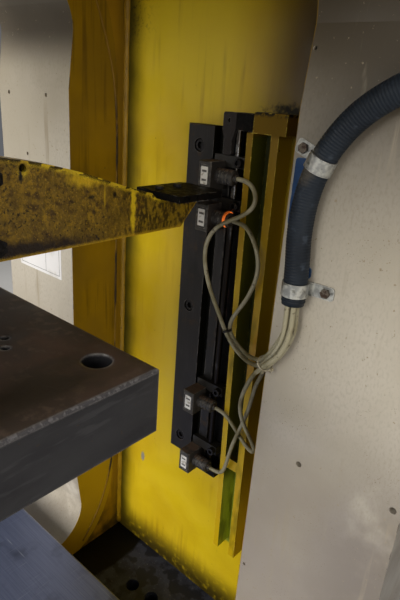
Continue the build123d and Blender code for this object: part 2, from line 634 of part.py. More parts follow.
def cylinder():
    depth, thick = MOUNT_FLANGE
    seat = HEAD_TOP + thick
    barrel = rod_z(0, RAM_Y, HEAD_BOTTOM, BARREL_TOP, BARREL)
    flange = block(-FLANGE_HALF, FLANGE_HALF, RAM_Y - depth / 2, RAM_Y + depth / 2, HEAD_TOP, seat)
    barrel += fillet(flange.edges().filter_by(Axis.Z), FLANGE_ROUND)
    barrel -= rod_z(0, RAM_Y, HEAD_BOTTOM, BARREL_TOP, BORE)
    screw_x = FLANGE_HALF - FLANGE_SCREW_INSET[0]
    screw_y = depth / 2 - FLANGE_SCREW_INSET[1]
    screws = []
    for x in (-screw_x, screw_x):
        for y in (RAM_Y - screw_y, RAM_Y + screw_y):
            barrel -= rod_z(x, y, HEAD_TOP, seat, FLANGE_SCREW)
            screws.append(Pos(x, y, seat) * hex_bolt(FLANGE_SCREW, thick))
    save("cylinder_barrel", barrel)

    cap = rod_z(0, RAM_Y, BARREL_TOP, BARREL_TOP + CAP, CAP_DIAMETER)
    save("cylinder_cap", chamfer(cap.edges().sort_by(Axis.Z)[-1], CAP_EDGE))

    under = HEAD_BOTTOM - GLAND_FLANGE
    gland = rod_z(0, RAM_Y, under, HEAD_BOTTOM, BARREL - 2 * GLAND_INSET)
    gland = chamfer(gland.edges().sort_by(Axis.Z)[0], SMALL_EDGE)
    gland += rod_z(0, RAM_Y, HEAD_BOTTOM, GLAND_TOP, BORE)
    gland -= rod_z(0, RAM_Y, under, GLAND_TOP, RAM_DIAMETER + 2 * RUNNING)
    save("cylinder_gland", gland)

    for place in ring(RING_SCREWS, SCREW_RING, 180 / RING_SCREWS):
        screws.append(place * Pos(0, 0, BARREL_TOP + CAP) * hex_head(CAP_SCREW))
        screws.append(place * Pos(0, 0, under) * Rot(180, 0, 0) * hex_head(GLAND_SCREW))
    save("cylinder_screws", Compound(children=screws))


def ram():
    piston_top = PISTON_BOTTOM + PISTON
    rod = rod_z(0, RAM_Y, PLATEN_TOP, FOOT_TOP, RAM_FOOT)
    rod = chamfer(rod.edges().sort_by(Axis.Z)[-1], SMALL_EDGE)
    rod += rod_z(0, RAM_Y, FOOT_TOP, PISTON_BOTTOM, RAM_DIAMETER)
    rod += rod_z(0, RAM_Y, PISTON_BOTTOM, piston_top, PISTON_SPIGOT)
    screws = [place * Pos(0, 0, FOOT_TOP) * hex_bolt(RAM_SCREW, RAM_FOOT_THICK + RAM_SCREW_BITE)
              for place in ring(RAM_SCREWS, RAM_SCREW_CIRCLE, 180 / RAM_SCREWS)]
    for screw in screws:
        rod -= screw
    save("ram_rod", rod)
    save("ram_piston", rod_z(0, RAM_Y, PISTON_BOTTOM, piston_top, BORE - 2 * RUNNING)
         - rod_z(0, RAM_Y, PISTON_BOTTOM, piston_top, PISTON_SPIGOT))
    save("ram_screws", Compound(children=screws))

    width, depth, thick = PLATEN
    bore, bore_depth = TOOL_COUNTERBORE
    hole_x = width / 2 - TOOL_HOLE_INSET[0]
    hole_y = depth / 2 - TOOL_HOLE_INSET[1]
    slab = block(-width / 2, width / 2, RAM_Y - depth / 2, RAM_Y + depth / 2,
                 PLATEN_BOTTOM, PLATEN_TOP)
    slab = chamfer(slab.edges().group_by(Axis.Z)[-1], PLATEN_TOP_EDGE)
    rest = slab.edges().group_by(Axis.Z)[0] + slab.edges().filter_by(Axis.Z)
    slab = chamfer(rest, PLATEN_EDGE)
    for x in (-hole_x, hole_x):
        for y in (RAM_Y - hole_y, RAM_Y + hole_y):
            slab -= rod_z(x, y, PLATEN_BOTTOM, PLATEN_TOP, TOOL_HOLE)
            slab -= rod_z(x, y, PLATEN_TOP - bore_depth, PLATEN_TOP, bore)
    for x, y in DOWELS:
        slab -= rod_z(x, RAM_Y + y, PLATEN_BOTTOM, PLATEN_TOP, DOWEL)
    for screw in screws:
        slab -= screw
    for x in (-GUIDE_X, GUIDE_X):
        slab -= rod_z(x, RAM_Y, PLATEN_TOP - SPIGOT_DEPTH, PLATEN_TOP, GUIDE_SPIGOT)
    save("platen", slab)

    column = rod_z(GUIDE_X, RAM_Y, PLATEN_TOP, GUIDE_TOP, GUIDE)
    column = chamfer(column.edges().sort_by(Axis.Z)[-1], SMALL_EDGE)
    column += rod_z(GUIDE_X, RAM_Y, PLATEN_TOP - SPIGOT_DEPTH, PLATEN_TOP, GUIDE_SPIGOT)
    both_sides("guide_column", column)
    bush_bottom = HEAD_BOTTOM - BUSH_FLANGE_THICK
    bushes = []
    for x in (-GUIDE_X, GUIDE_X):
        bush = rod_z(x, RAM_Y, HEAD_BOTTOM, HEAD_TOP, BUSH)
        bush += rod_z(x, RAM_Y, bush_bottom, HEAD_BOTTOM, BUSH_FLANGE)
        bushes.append(bush - rod_z(x, RAM_Y, bush_bottom, HEAD_TOP, GUIDE + 2 * RUNNING))
    save("guide_bushes", Compound(children=bushes))


def switch_arm():
    ear_width, ear_out, ear_height = COLLAR_EAR
    ear_low = COLLAR_BOTTOM + (COLLAR_HEIGHT - ear_height) / 2
    ear_front = RAM_Y - COLLAR / 2 - ear_out
    collar = rod_z(0, RAM_Y, COLLAR_BOTTOM, COLLAR_TOP, COLLAR)
    collar += block(-ear_width / 2, ear_width / 2, ear_front, RAM_Y - RAM_DIAMETER / 2,
                    ear_low, ear_low + ear_height)
    collar += block(ARM_LEFT - LUG, ARM_LEFT, RAM_Y + RAM_DIAMETER / 2, ARM_ROOT + LUG_LENGTH,
                    COLLAR_BOTTOM, COLLAR_TOP - LUG_DROP)
    collar -= rod_z(0, RAM_Y, COLLAR_BOTTOM, COLLAR_TOP, RAM_DIAMETER)
    collar -= block(-COLLAR_SLIT / 2, COLLAR_SLIT / 2, ear_front, RAM_Y, COLLAR_BOTTOM, COLLAR_TOP)
    collar -= block(ARM_LEFT, ARM_RIGHT, ARM_ROOT, RAM_Y + COLLAR, COLLAR_BOTTOM, COLLAR_TOP)

    reach = FLAG_START - ARM_ROOT
    fall = COLLAR_TOP - FLAG_SEAT
    root_top = (ARM_ROOT, COLLAR_TOP + ARM_HUMP)
    crown_end = (FLAG_START - FLAG_STEP, FLAG_SEAT + FLAG_STEP)
    crown = [(ARM_ROOT + reach * way, COLLAR_TOP - fall * down) for way, down in ARM_CROWN]
    tip = FLAG_END - ARM_TIP_SETBACK[0]
    low_tip = FLAG_END - ARM_TIP_SETBACK[1]
    outline = [
        Line((ARM_ROOT, COLLAR_BOTTOM), root_top),
        Spline(root_top, *crown, crown_end),
        Line(crown_end, (FLAG_START, FLAG_SEAT)),
        Line((FLAG_START, FLAG_SEAT), (tip, FLAG_SEAT)),
        Line((tip, FLAG_SEAT), (tip, FLAG_SEAT - ARM_TIP_DROP)),
        Line((tip, FLAG_SEAT - ARM_TIP_DROP), (low_tip, COLLAR_BOTTOM)),
        Line((low_tip, COLLAR_BOTTOM), (ARM_ROOT, COLLAR_BOTTOM)),
    ]
    arm = upright(make_face(Wire(outline)), ARM_LEFT, ARM_RIGHT)
    along, rise, hole, depth = ARM_HOLE
    arm -= rod_x(ARM_ROOT + along, COLLAR_BOTTOM + rise, ARM_RIGHT - depth, ARM_RIGHT, hole)

    bolts = []
    for along in ARM_BOLT_ALONG:
        for rise in ARM_BOLT_RISE:
            place = facing_right(ARM_RIGHT, ARM_ROOT + along, COLLAR_BOTTOM + rise)
            bolt = place * hex_bolt(ARM_BOLT, ARM_PLATE + LUG)
            arm -= bolt
            collar -= bolt
            bolts.append(bolt)
    inset_y, inset_z = PINCH_SCREW_INSET
    for z in (ear_low + inset_z, ear_low + ear_height - inset_z):
        pinch = facing_right(ear_width / 2, ear_front + inset_y, z) * hex_bolt(PINCH_SCREW, ear_width)
        collar -= pinch
        bolts.append(pinch)

    flag_width, flag_length, flag_thick = FLAG
    flag_top = FLAG_SEAT + flag_thick
    flag = block(FLAG_LEFT, FLAG_LEFT + flag_width, FLAG_START, FLAG_END, FLAG_SEAT, flag_top)
    flag = chamfer(flag.edges().filter_by(Axis.Z).sort_by(Axis.Y)[-2:], FLAG_CORNER)
    for along in FLAG_SCREW_ALONG:
        place = Pos((ARM_LEFT + ARM_RIGHT) / 2, FLAG_START + along, flag_top)
        screw = place * hex_bolt(FLAG_SCREW, FLAG_SCREW_LENGTH)
        flag -= screw
        arm -= screw
        bolts.append(screw)
    save("arm_collar", collar)
    save("switch_arm", arm)
    save("switch_flag", flag)
    save("arm_bolts", Compound(children=bolts))


def switch_rail():
    slot_right = RAIL_RIGHT - RAIL_SLOT_INSET
    bore, bore_depth = RAIL_COUNTERBORE
    plate = block(RAIL_LEFT, RAIL_RIGHT, RAIL_FACE, WALL_FACE, RAIL_BOTTOM, RAIL_TOP)
    plate = chamfer(plate.faces().sort_by(Axis.Y)[0].edges(), RAIL_EDGE)
    plate -= block(slot_right - RAIL_SLOT, slot_right, RAIL_FACE, RAIL_FACE + RAIL_SLOT_DEPTH,
                   RAIL_BOTTOM + RAIL_SLOT_FOOT, RAIL_TOP)
    seat = RAIL_FACE + bore_depth
    length = WALL_FACE - seat + RAIL_SCREW_BITE
    screws = []
    for z in RAIL_SCREWS:
        plate -= rod_y(RAIL_SCREW_X, z, RAIL_FACE, WALL_FACE, RAIL_HOLE)
        plate -= rod_y(RAIL_SCREW_X, z, RAIL_FACE, seat, bore)
        screws.append(facing_front(RAIL_SCREW_X, seat, z) * socket_screw(RAIL_SCREW, length))
    save("rail_plate", plate)
    save("rail_screws", Compound(children=screws))

    block_front = WALL_FACE - END_BLOCK_DEPTH
    block_low = RAIL_TOP - END_BLOCK_LAP
    block_top = RAIL_TOP + UPPER_BLOCK_RISE
    lower_under, lower_over = LOWER_BLOCK
    save("backing_bar", block(BACKING_LEFT, BACKING_RIGHT, WALL_FACE - BACKING[1], WALL_FACE,
                              RAIL_BOTTOM + lower_over, block_low))
    upper = block(BACKING_LEFT, BACKING_RIGHT + UPPER_BLOCK_OUT, block_front, WALL_FACE,
                  block_low, block_top)
    shoulder = RAIL_TOP - HANGER_SHOULDER
    neck = (HANGER_FOOT + RAIL_TOP) / 2
    profile = [(HANGER_HEAD, block_top), (HANGER_HEAD, shoulder), (HANGER_NECK, neck),
               (HANGER_TOE, HANGER_FOOT)]
    profile += [(-half_width, z) for half_width, z in reversed(profile)]
    hanger = make_face(Polyline(*profile, close=True))
    hanger = fillet(hanger.vertices(), HANGER_ROUND)
    hanger = facing_front(RAIL_RIGHT, RAIL_FACE, 0) * extrude(hanger, RAIL_FACE - block_front)
    hanger -= rod_y(RAIL_RIGHT, (RAIL_TOP + block_top) / 2, block_front, RAIL_FACE, HANGER_HOLE)
    rod_top = RAIL_TOP + ROD_SEAT
    upper += hanger
    upper -= rod_z(GUIDE_ROD_X, GUIDE_ROD_Y, HANGER_FOOT, rod_top, GUIDE_ROD)
    save("upper_end_block", upper)
    lower = block(BACKING_LEFT, BACKING_RIGHT, block_front, WALL_FACE,
                  RAIL_BOTTOM - lower_under, RAIL_BOTTOM + lower_over)
    lower -= rod_z(GUIDE_ROD_X, GUIDE_ROD_Y, RAIL_BOTTOM, RAIL_BOTTOM + lower_over, GUIDE_ROD)
    save("lower_end_block", lower)
    save("switch_guide_rod", rod_z(GUIDE_ROD_X, GUIDE_ROD_Y, RAIL_BOTTOM, rod_top, GUIDE_ROD))


def position_switches():
    height = SWITCH[2]
    pocket_side, pocket_end, pocket_depth = LABEL_POCKET
    clamp_front = RAIL_FACE - CLAMP_THICK
    clamp_right = CLAMP_SCREW_X + CLAMP_TIP
    plugs = []
    screws = []
    for number, (z, rise) in enumerate(zip(SWITCH_Z, CLAMP_RISE), start=1):
        low, top = z - height / 2, z + height / 2
        body = block(SWITCH_LEFT, SWITCH_RIGHT, SWITCH_FRONT, RAIL_FACE, low, top)
        body = chamfer(body.faces().sort_by(Axis.Y)[0].edges(), SWITCH_EDGE)
        body -= block(SWITCH_LEFT + pocket_side, SWITCH_RIGHT - pocket_side, SWITCH_FRONT,
                      SWITCH_FRONT + pocket_depth, low + pocket_end, top - pocket_end)
        ear_low, ear_top = z + rise - CLAMP_EAR / 2, z + rise + CLAMP_EAR / 2
        clamp = block(SWITCH_RIGHT, clamp_right, clamp_front, RAIL_FACE, ear_low, ear_top)
        clamp += block(BACKING_LEFT, clamp_right, RAIL_FACE, RAIL_FACE + CLAMP_HOOK, ear_low, ear_top)
        clamp += block(SWITCH_LEFT + CLAMP_STEP, SWITCH_RIGHT, clamp_front, RAIL_FACE, top, ear_top)
        clamp -= rod_z(GUIDE_ROD_X, GUIDE_ROD_Y, ear_low, ear_top, GUIDE_ROD)
        screw = facing_front(CLAMP_SCREW_X, clamp_front, z + rise)
        screw = screw * socket_screw(CLAMP_SCREW, CLAMP_SCREW_LENGTH)
        save(f"switch_{number}", body + (clamp - screw))
        screws.append(screw)

        plug = Pos(0, 0, PLUG_LENGTH / 2) * Cylinder(PLUG / 2, PLUG_LENGTH)
        plug = chamfer(plug.edges().sort_by(Axis.Z)[-1], PLUG_EDGE)
        groove_width, groove_depth = PLUG_GROOVE
        groove = Cylinder(PLUG / 2, groove_width) - Cylinder(PLUG / 2 - groove_depth, groove_width)
        for place in PLUG_GROOVE_PLACES:
            plug -= Pos(0, 0, place) * groove
        nose, nose_length = PLUG_NOSE
        plug += Pos(0, 0, PLUG_LENGTH + nose_length / 2) * Cylinder(nose / 2, nose_length)
        plugs.append(facing_right(SWITCH_RIGHT, PLUG_Y, z) * plug)
    save("switch_plugs", Compound(children=plugs))
    save("clamp_screws", Compound(children=screws))


def guide_channel():
    front = WALL_FACE - CHANNEL_DEPTH
    block_low = CHANNEL_TOP - CHANNEL_BLOCK
    bridge_rise, bridge_height, bridge_depth = BRIDGE
    bridge_low = RAIL_BOTTOM + bridge_rise

    def leaning_bar(bar):
        top, bottom, thick = bar
        left_top, left_bottom = BACKING_RIGHT + top, BACKING_RIGHT + bottom
        corners = [(left_top, block_low), (left_top + thick, block_low),
                   (left_bottom + thick, CHANNEL_BOTTOM), (left_bottom, CHANNEL_BOTTOM)]
        face = make_face(Polyline(*corners, close=True))
        return facing_front(0, WALL_FACE, 0) * extrude(face, CHANNEL_DEPTH)

    def left_side(bar):
        """X of a leaning bar's left face at the bridge."""
        top, bottom, thick = bar
        share = (block_low - bridge_low) / (block_low - CHANNEL_BOTTOM)
        return BACKING_RIGHT + top + (bottom - top) * share

    channel = leaning_bar(LEFT_BAR) + leaning_bar(RIGHT_BAR)
    channel += block(BACKING_RIGHT + BLOCK_REACH[0], BACKING_RIGHT + BLOCK_REACH[1],
                     front, WALL_FACE, block_low, CHANNEL_TOP)
    channel += block(left_side(LEFT_BAR) + LEFT_BAR[2] - BRIDGE_BITE, left_side(RIGHT_BAR) + BRIDGE_BITE,
                     front, front + bridge_depth, bridge_low, bridge_low + bridge_height)
    save("guide_channel", channel)


def conduit_and_cables():
    path = routed_path(CONDUIT_ROUTE)
    save("conduit", routed_tube(path, CONDUIT))
    for name, route in CABLE_ROUTES.items():
        save(name, routed_tube(routed_path(route), CABLE))

    back = THROAT_BACK - CONDUIT_Y
    tab_length, tab_thick = TAB
    web_width, web_depth, web_out = CLAMP_WEB
    screws = []
    for name, (along, side) in CLAMPS.items():
        inner = Cylinder(CONDUIT / 2, CLAMP_WIDTH)
        band = Cylinder(CONDUIT / 2 + CLAMP_WALL, CLAMP_WIDTH) - inner
        tab = Pos(side * TAB_MIDDLE, back - tab_thick / 2, 0) * Box(tab_length, tab_thick, CLAMP_WIDTH)
        tab = fillet(tab.edges().filter_by(Axis.Y), TAB_ROUND)
        web = Pos(side * web_out, back - web_depth / 2, 0) * Box(web_width, web_depth, CLAMP_WIDTH)
        clip = band + (web - inner) + tab
        clip -= rod_y(side * TAB_SCREW_OUT, 0, back - tab_thick, back, TAB_SCREW)
        share = along / path.length
        course = path % share
        across = Vector(0, 1, 0).cross(course)
        place = Plane(origin=path @ share, x_dir=across, z_dir=course).location
        save(f"conduit_clamp_{name}", place * clip)
        screw = facing_front(side * TAB_SCREW_OUT, back - tab_thick, 0) * hex_bolt(TAB_SCREW, tab_thick)
        screws.append(place * screw)
    save("conduit_screws", Compound(children=screws))

    width, depth, height = JUNCTION_BOX
    x, y, z = CONDUIT_ROUTE[-1]
    bottom = z - BOX_DROP
    box = block(OUTER_X, OUTER_X + width, BOX_FRONT, BOX_FRONT + depth, bottom, bottom + height)
    box = fillet(box.edges().filter_by(Axis.X), BOX_ROUND)
    gland = rod_y(x, z, y, BOX_FRONT, BOX_GLAND)
    save("junction_box", box + chamfer(gland.edges().sort_by(Axis.Y)[0], SMALL_EDGE))


def oil_tank():
    back = TANK_FRONT + TANK_DEPTH
    tank = block(-INNER_X, INNER_X, TANK_FRONT, back, TANK_BOTTOM, TANK_TOP)
    tank -= block(-INNER_X + TANK_WALL, INNER_X - TANK_WALL, TANK_FRONT + TANK_WALL,
                  back - TANK_WALL, TANK_BOTTOM + TANK_WALL, TANK_TOP)
    save("oil_tank", tank)
    filler, filler_rise = FILLER
    lid = block(-INNER_X, INNER_X, TANK_FRONT, back, TANK_TOP, LID_TOP)
    lid -= rod_z(0, MOTOR_Y, TANK_TOP, LID_TOP, LID_HOLE)
    lid += rod_z(FILLER_X, back - filler_rise, LID_TOP, LID_TOP + filler_rise, filler)
    save("tank_lid", lid)


def turned(points):
    """A turned or cast piece on the motor's axis, its heights above the tank's lid."""
    profile = make_face(Plane.XZ * Polyline(*points, close=True))
    return Pos(0, MOTOR_Y, LID_TOP) * revolve(profile, Axis.Z)


def pump_and_motor():
    bell_top = BELL_HEIGHT
    rim_low = bell_top - BELL_RIM
    wall_foot, wall_top = BELL_WALL
    save("bell_housing", turned([(BELL_EYE, 0), (BELL_FOOT, 0), (BELL_FOOT, BELL_RIM),
                                 (wall_foot, BELL_RIM), (wall_top, rim_low),
                                 (MOTOR_FLANGE, rim_low), (MOTOR_FLANGE, bell_top),
                                 (BELL_BORE, bell_top), (BELL_BORE, BELL_RIM),
                                 (BELL_EYE, BELL_RIM)]))
    body, depth = PUMP_BODY
    flange, flange_thick = PUMP_FLANGE
    neck, neck_rise = PUMP_NECK
    save("gear_pump", turned([(0, -depth), (body, -depth), (body, -flange_thick),
                              (flange, -flange_thick), (flange, 0), (neck, 0),
                              (neck, neck_rise), (0, neck_rise)]))
    shaft_end = bell_top - SHAFT_LENGTH
    flange_top = bell_top + BELL_RIM
    motor_top = bell_top + MOTOR_HEIGHT
    cover_low = motor_top - COVER_HEIGHT
    round_in, round_down = COVER_ROUND
    motor = turned([(0, shaft_end), (SHAFT, shaft_end), (SHAFT, bell_top), (MOTOR_FLANGE, bell_top),
                    (MOTOR_FLANGE, flange_top), (MOTOR_BODY, flange_top), (MOTOR_BODY, cover_low),
                    (MOTOR_COVER, cover_low + COVER_STEP), (MOTOR_COVER, motor_top - round_down),
                    (MOTOR_COVER - round_in, motor_top), (0, motor_top)])
    fin_out, fin_thick, fin_length = FIN
    fin_middle = LID_TOP + (flange_top + cover_low) / 2
    for number in range(FINS):
        fin = Pos(MOTOR_BODY + fin_out / 2 - FIN_BITE, 0, 0) * Box(fin_out, fin_thick, fin_length)
        motor += Pos(0, MOTOR_Y, fin_middle) * Rot(0, 0, 360 * number / FINS) * fin
    width, depth, height = TERMINAL_BOX
    start = MOTOR_Y + MOTOR_BODY - SHAFT
    motor += block(-width / 2, width / 2, start, start + depth,
                   fin_middle - height / 2, fin_middle + height / 2)
    save("electric_motor", motor)


def valve_and_pipes():
    width, depth, height = VALVE_BLOCK
    valve_top = VALVE_BOTTOM + height
    face = WALL_BACK + depth
    manifold = block(-width / 2, width / 2, WALL_BACK, face, VALVE_BOTTOM, valve_top)
    body_width, body_depth, body_height = VALVE_BODY
    solenoid, solenoid_length = SOLENOID
    middle = face + body_depth / 2
    end = body_width / 2 + solenoid_length
    for rise in VALVE_BODY_RISE:
        z = VALVE_BOTTOM + rise
        manifold += block(-body_width / 2, body_width / 2, face, face + body_depth,
                          z - body_height / 2, z + body_height / 2)
        manifold += rod_x(middle, z, -end, -body_width / 2, solenoid)
        manifold += rod_x(middle, z, body_width / 2, end, solenoid)
    save("valve_block", manifold)

    pipe_y = WALL_BACK + depth / 2
    bend_level = VALVE_BOTTOM - TANK_PIPE_FALL
    tank_pipes = []
    for side in (1, -1):
        x, swing = side * TANK_PIPE_X, side * TANK_PIPE_SWING
        tank_pipes.append(bent_pipe([(x, pipe_y, VALVE_BOTTOM), (x, pipe_y, bend_level),
                                     (swing, pipe_y, bend_level), (swing, pipe_y, LID_TOP)]))
    save("tank_pipes", Compound(children=tank_pipes))
    far_y = pipe_y + CYLINDER_PIPE_STEP
    cap_level = BARREL_TOP + CAP / 2
    flange_level = HEAD_TOP + MOUNT_FLANGE[1] / 2
    flange_back = RAM_Y + MOUNT_FLANGE[0] / 2
    cap_back = RAM_Y + CAP_DIAMETER / 2
    x = CYLINDER_PIPE_X
    save("cylinder_pipes", Compound(children=[
        bent_pipe([(x, pipe_y, valve_top), (x, pipe_y, flange_level), (x, flange_back, flange_level)]),
        bent_pipe([(0, far_y, valve_top), (0, far_y, cap_level), (0, cap_back, cap_level)])]))


os.makedirs("parts", exist_ok=True)
side_members()
cross_plates()
bolster()
cylinder()
ram()
switch_arm()
switch_rail()
position_switches()
guide_channel()
conduit_and_cables()
oil_tank()
pump_and_motor()
valve_and_pipes()
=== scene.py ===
"""Hydraulic C-frame press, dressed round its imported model: finishes, welds, cables and small trim."""
import math

import bmesh
import bpy
from mathutils import Matrix, Vector


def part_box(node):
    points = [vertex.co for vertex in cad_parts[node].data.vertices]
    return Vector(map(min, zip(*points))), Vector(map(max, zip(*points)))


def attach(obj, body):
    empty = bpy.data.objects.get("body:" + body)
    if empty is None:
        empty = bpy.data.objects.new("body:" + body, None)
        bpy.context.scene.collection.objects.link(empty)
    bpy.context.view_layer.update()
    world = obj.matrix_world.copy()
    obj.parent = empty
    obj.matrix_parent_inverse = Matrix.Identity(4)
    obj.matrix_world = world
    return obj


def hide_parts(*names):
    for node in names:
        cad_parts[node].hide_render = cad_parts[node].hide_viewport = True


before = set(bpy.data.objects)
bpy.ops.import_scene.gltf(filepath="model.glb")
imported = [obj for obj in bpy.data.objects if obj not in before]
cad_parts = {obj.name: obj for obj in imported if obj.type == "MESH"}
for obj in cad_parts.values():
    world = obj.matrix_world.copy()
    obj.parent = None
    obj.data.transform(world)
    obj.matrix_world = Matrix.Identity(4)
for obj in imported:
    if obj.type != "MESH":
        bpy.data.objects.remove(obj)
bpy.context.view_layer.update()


# Camera
# A hand-held camera at eye level in front of the press's right member, looking down and
# to the left into the throat.
CAMERA_PLACE = (0.509, -0.380, 1.678)
CAMERA_RIGHT = (0.7549, 0.6521, 0.0699)
CAMERA_DOWN = (0.2894, -0.2356, -0.9279)
FOCAL_LENGTH = 31.2      # mm
LONG_SIDE = 36.0         # mm, of the picture behind the lens

camera = bpy.data.objects.new("camera", bpy.data.cameras.new("camera"))
camera.data.lens = FOCAL_LENGTH
camera.data.sensor_width = LONG_SIDE
camera.data.clip_start = 0.01
right = Vector(CAMERA_RIGHT).normalized()
up = -Vector(CAMERA_DOWN)
back = right.cross(up).normalized()
camera_axes = Matrix((right, back.cross(right), back)).transposed()
camera.matrix_world = Matrix.Translation(CAMERA_PLACE) @ camera_axes.to_4x4()
bpy.context.scene.collection.objects.link(camera)
bpy.context.scene.camera = camera


# Switch cables
# Four round control cables, one moulded on each switch's plug, in grey PVC that oil mist has
# yellowed. They hang in the loops that their fitter left and go up into the conduit.
CABLE = 0.0063           # diameter
CABLES = {
    "cable_1": (0.570, [
        (0.075, 0.213, 1.573), (0.091, 0.213, 1.573), (0.106, 0.209, 1.566), (0.115, 0.205, 1.554),
        (0.114, 0.202, 1.541), (0.102, 0.199, 1.529), (0.084, 0.196, 1.519), (0.064, 0.196, 1.508),
        (0.049, 0.197, 1.493), (0.040, 0.199, 1.475), (0.036, 0.202, 1.454), (0.039, 0.204, 1.431),
        (0.047, 0.205, 1.408), (0.060, 0.205, 1.386), (0.075, 0.204, 1.364), (0.090, 0.202, 1.344),
        (0.109, 0.199, 1.329), (0.134, 0.192, 1.322), (0.155, 0.178, 1.329), (0.178, 0.156, 1.343),
        (0.199, 0.132, 1.361), (0.2155, 0.121, 1.380), (0.227, 0.118, 1.399), (0.233, 0.118, 1.417),
        (0.234, 0.118, 1.435), (0.233, 0.119, 1.450), (0.233, 0.119, 1.464)]),
    "cable_2": (0.462, [
        (0.075, 0.213, 1.513), (0.091, 0.213, 1.513), (0.104, 0.211, 1.507), (0.115, 0.209, 1.496),
        (0.125, 0.207, 1.481), (0.131, 0.206, 1.462), (0.129, 0.206, 1.440), (0.120, 0.207, 1.415),
        (0.107, 0.2085, 1.392), (0.094, 0.209, 1.372), (0.089, 0.209, 1.354), (0.097, 0.208, 1.339),
        (0.112, 0.206, 1.330), (0.132, 0.197, 1.328), (0.151, 0.184, 1.334), (0.174, 0.163, 1.348),
        (0.195, 0.138, 1.3645), (0.211, 0.126, 1.3815), (0.222, 0.125, 1.401), (0.229, 0.1258, 1.419),
        (0.232, 0.127, 1.436), (0.233, 0.127, 1.450), (0.233, 0.127, 1.464)]),
    "cable_3": (0.459, [
        (0.075, 0.213, 1.200), (0.093, 0.213, 1.200), (0.112, 0.212, 1.187), (0.130, 0.211, 1.173),
        (0.147, 0.207, 1.165), (0.162, 0.201, 1.166), (0.169, 0.196, 1.177), (0.163, 0.193, 1.192),
        (0.151, 0.192, 1.207), (0.141, 0.191, 1.224), (0.136, 0.190, 1.244), (0.140, 0.188, 1.266),
        (0.149, 0.184, 1.289), (0.161, 0.176, 1.311), (0.177, 0.158, 1.331), (0.195, 0.132, 1.350),
        (0.212, 0.118, 1.371), (0.231, 0.115, 1.391), (0.240, 0.116, 1.413), (0.242, 0.118, 1.432),
        (0.241, 0.119, 1.448), (0.241, 0.119, 1.464)]),
    "cable_4": (0.463, [
        (0.075, 0.213, 1.078), (0.091, 0.213, 1.078), (0.104, 0.210, 1.088), (0.111, 0.207, 1.107),
        (0.116, 0.205, 1.131), (0.122, 0.204, 1.158), (0.130, 0.203, 1.184), (0.138, 0.203, 1.209),
        (0.145, 0.202, 1.235), (0.151, 0.199, 1.261), (0.158, 0.193, 1.287), (0.169, 0.184, 1.309),
        (0.182, 0.168, 1.328), (0.1945, 0.145, 1.344), (0.206, 0.1275, 1.359), (0.2195, 0.1255, 1.376),
        (0.232, 0.1255, 1.394), (0.240, 0.1255, 1.414), (0.243, 0.126, 1.432), (0.241, 0.127, 1.448),
        (0.241, 0.127, 1.464)]),
}


def linear(hex_colour):
    """An sRGB hex colour as linear red, green, blue and alpha."""
    parts = [int(hex_colour[start:start + 2], 16) / 255 for start in (0, 2, 4)]
    return [c / 12.92 if c <= 0.04045 else ((c + 0.055) / 1.055) ** 2.4 for c in parts] + [1.0]


def node(tree, kind, sockets=(), **settings):
    """Adds a shader node. Each socket, by its name or number, gets a value or what feeds it."""
    made = tree.nodes.new("ShaderNode" + kind)
    for name, value in settings.items():
        setattr(made, name, value)
    for name, value in dict(sockets).items():
        if isinstance(name, int):
            socket = made.inputs[name]
        else:
            socket = next(one for one in made.inputs if one.enabled and one.name == name)
        if isinstance(value, bpy.types.Node):
            value = next(one for one in value.outputs if one.enabled)
        if isinstance(value, bpy.types.NodeSocket):
            tree.links.new(value, socket)
        else:
            socket.default_value = value
    return made


def noise(tree, size, stretch=(1, 1, 1), detail=4.0, shift=0.0):
    """Noise with lumps of about this size in millimetres, drawn out along each axis by stretch."""
    place = node(tree, "TexCoord").outputs["Object"]
    scale = [1000 / (size * draw) for draw in stretch]
    place = node(tree, "Mapping", {"Vector": place, "Scale": scale, "Location": (shift, shift, shift)})
    return node(tree, "TexNoise", {"Vector": place, "Scale": 1.0, "Detail": detail})


def ramp(tree, value, low, high):
    """A smooth mask: 0 where the value is at low, 1 where it is at high."""
    return node(tree, "MapRange", {"Value": value, "From Min": low, "From Max": high},
                interpolation_type="SMOOTHSTEP")


def patches(tree, size, low, high, **shape):
    """A mask of irregular patches of about this size in millimetres."""
    return ramp(tree, noise(tree, size, **shape), low, high)


def coat(tree, under, *layers):
    """A colour or number with others laid over it, each with the mask that it shows through."""
    kind = "FLOAT" if isinstance(under, (int, float)) else "RGBA"
    result = linear(under) if isinstance(under, str) else under
    for mask, over in layers:
        over = linear(over) if isinstance(over, str) else over
        result = node(tree, "Mix", {"Factor": mask, "A": result, "B": over}, data_type=kind)
    return result


def bump(tree, *reliefs, normal=None):
    """A normal with each relief in turn: its height mask and its depth in millimetres."""
    for height, depth in reliefs:
        sockets = {"Height": height, "Distance": depth / 1000, "Strength": 1.0}
        if normal:
            sockets["Normal"] = normal
        normal = node(tree, "Bump", sockets)
    return normal


def material(name, metallic=0.0, ior=1.5):
    """An empty surface and its node tree and shader. A metal keeps the default IOR."""
    made = bpy.data.materials.new(name)
    made.use_nodes = True
    shader = made.node_tree.nodes["Principled BSDF"]
    shader.inputs["Metallic"].default_value = metallic
    if metallic < 0.5:
        shader.inputs["IOR"].default_value = ior
    return made, made.node_tree, shader


def dress(shader, **parts):
    """Joins what each named part of the finish is worked out from to its socket."""
    for name, source in parts.items():
        socket = shader.inputs[name.replace("_", " ").title().replace("Ior", "IOR")]
        if isinstance(source, bpy.types.Node):
            source = next(one for one in source.outputs if one.enabled)
            shader.id_data.links.new(source, socket)
        else:
            socket.default_value = source


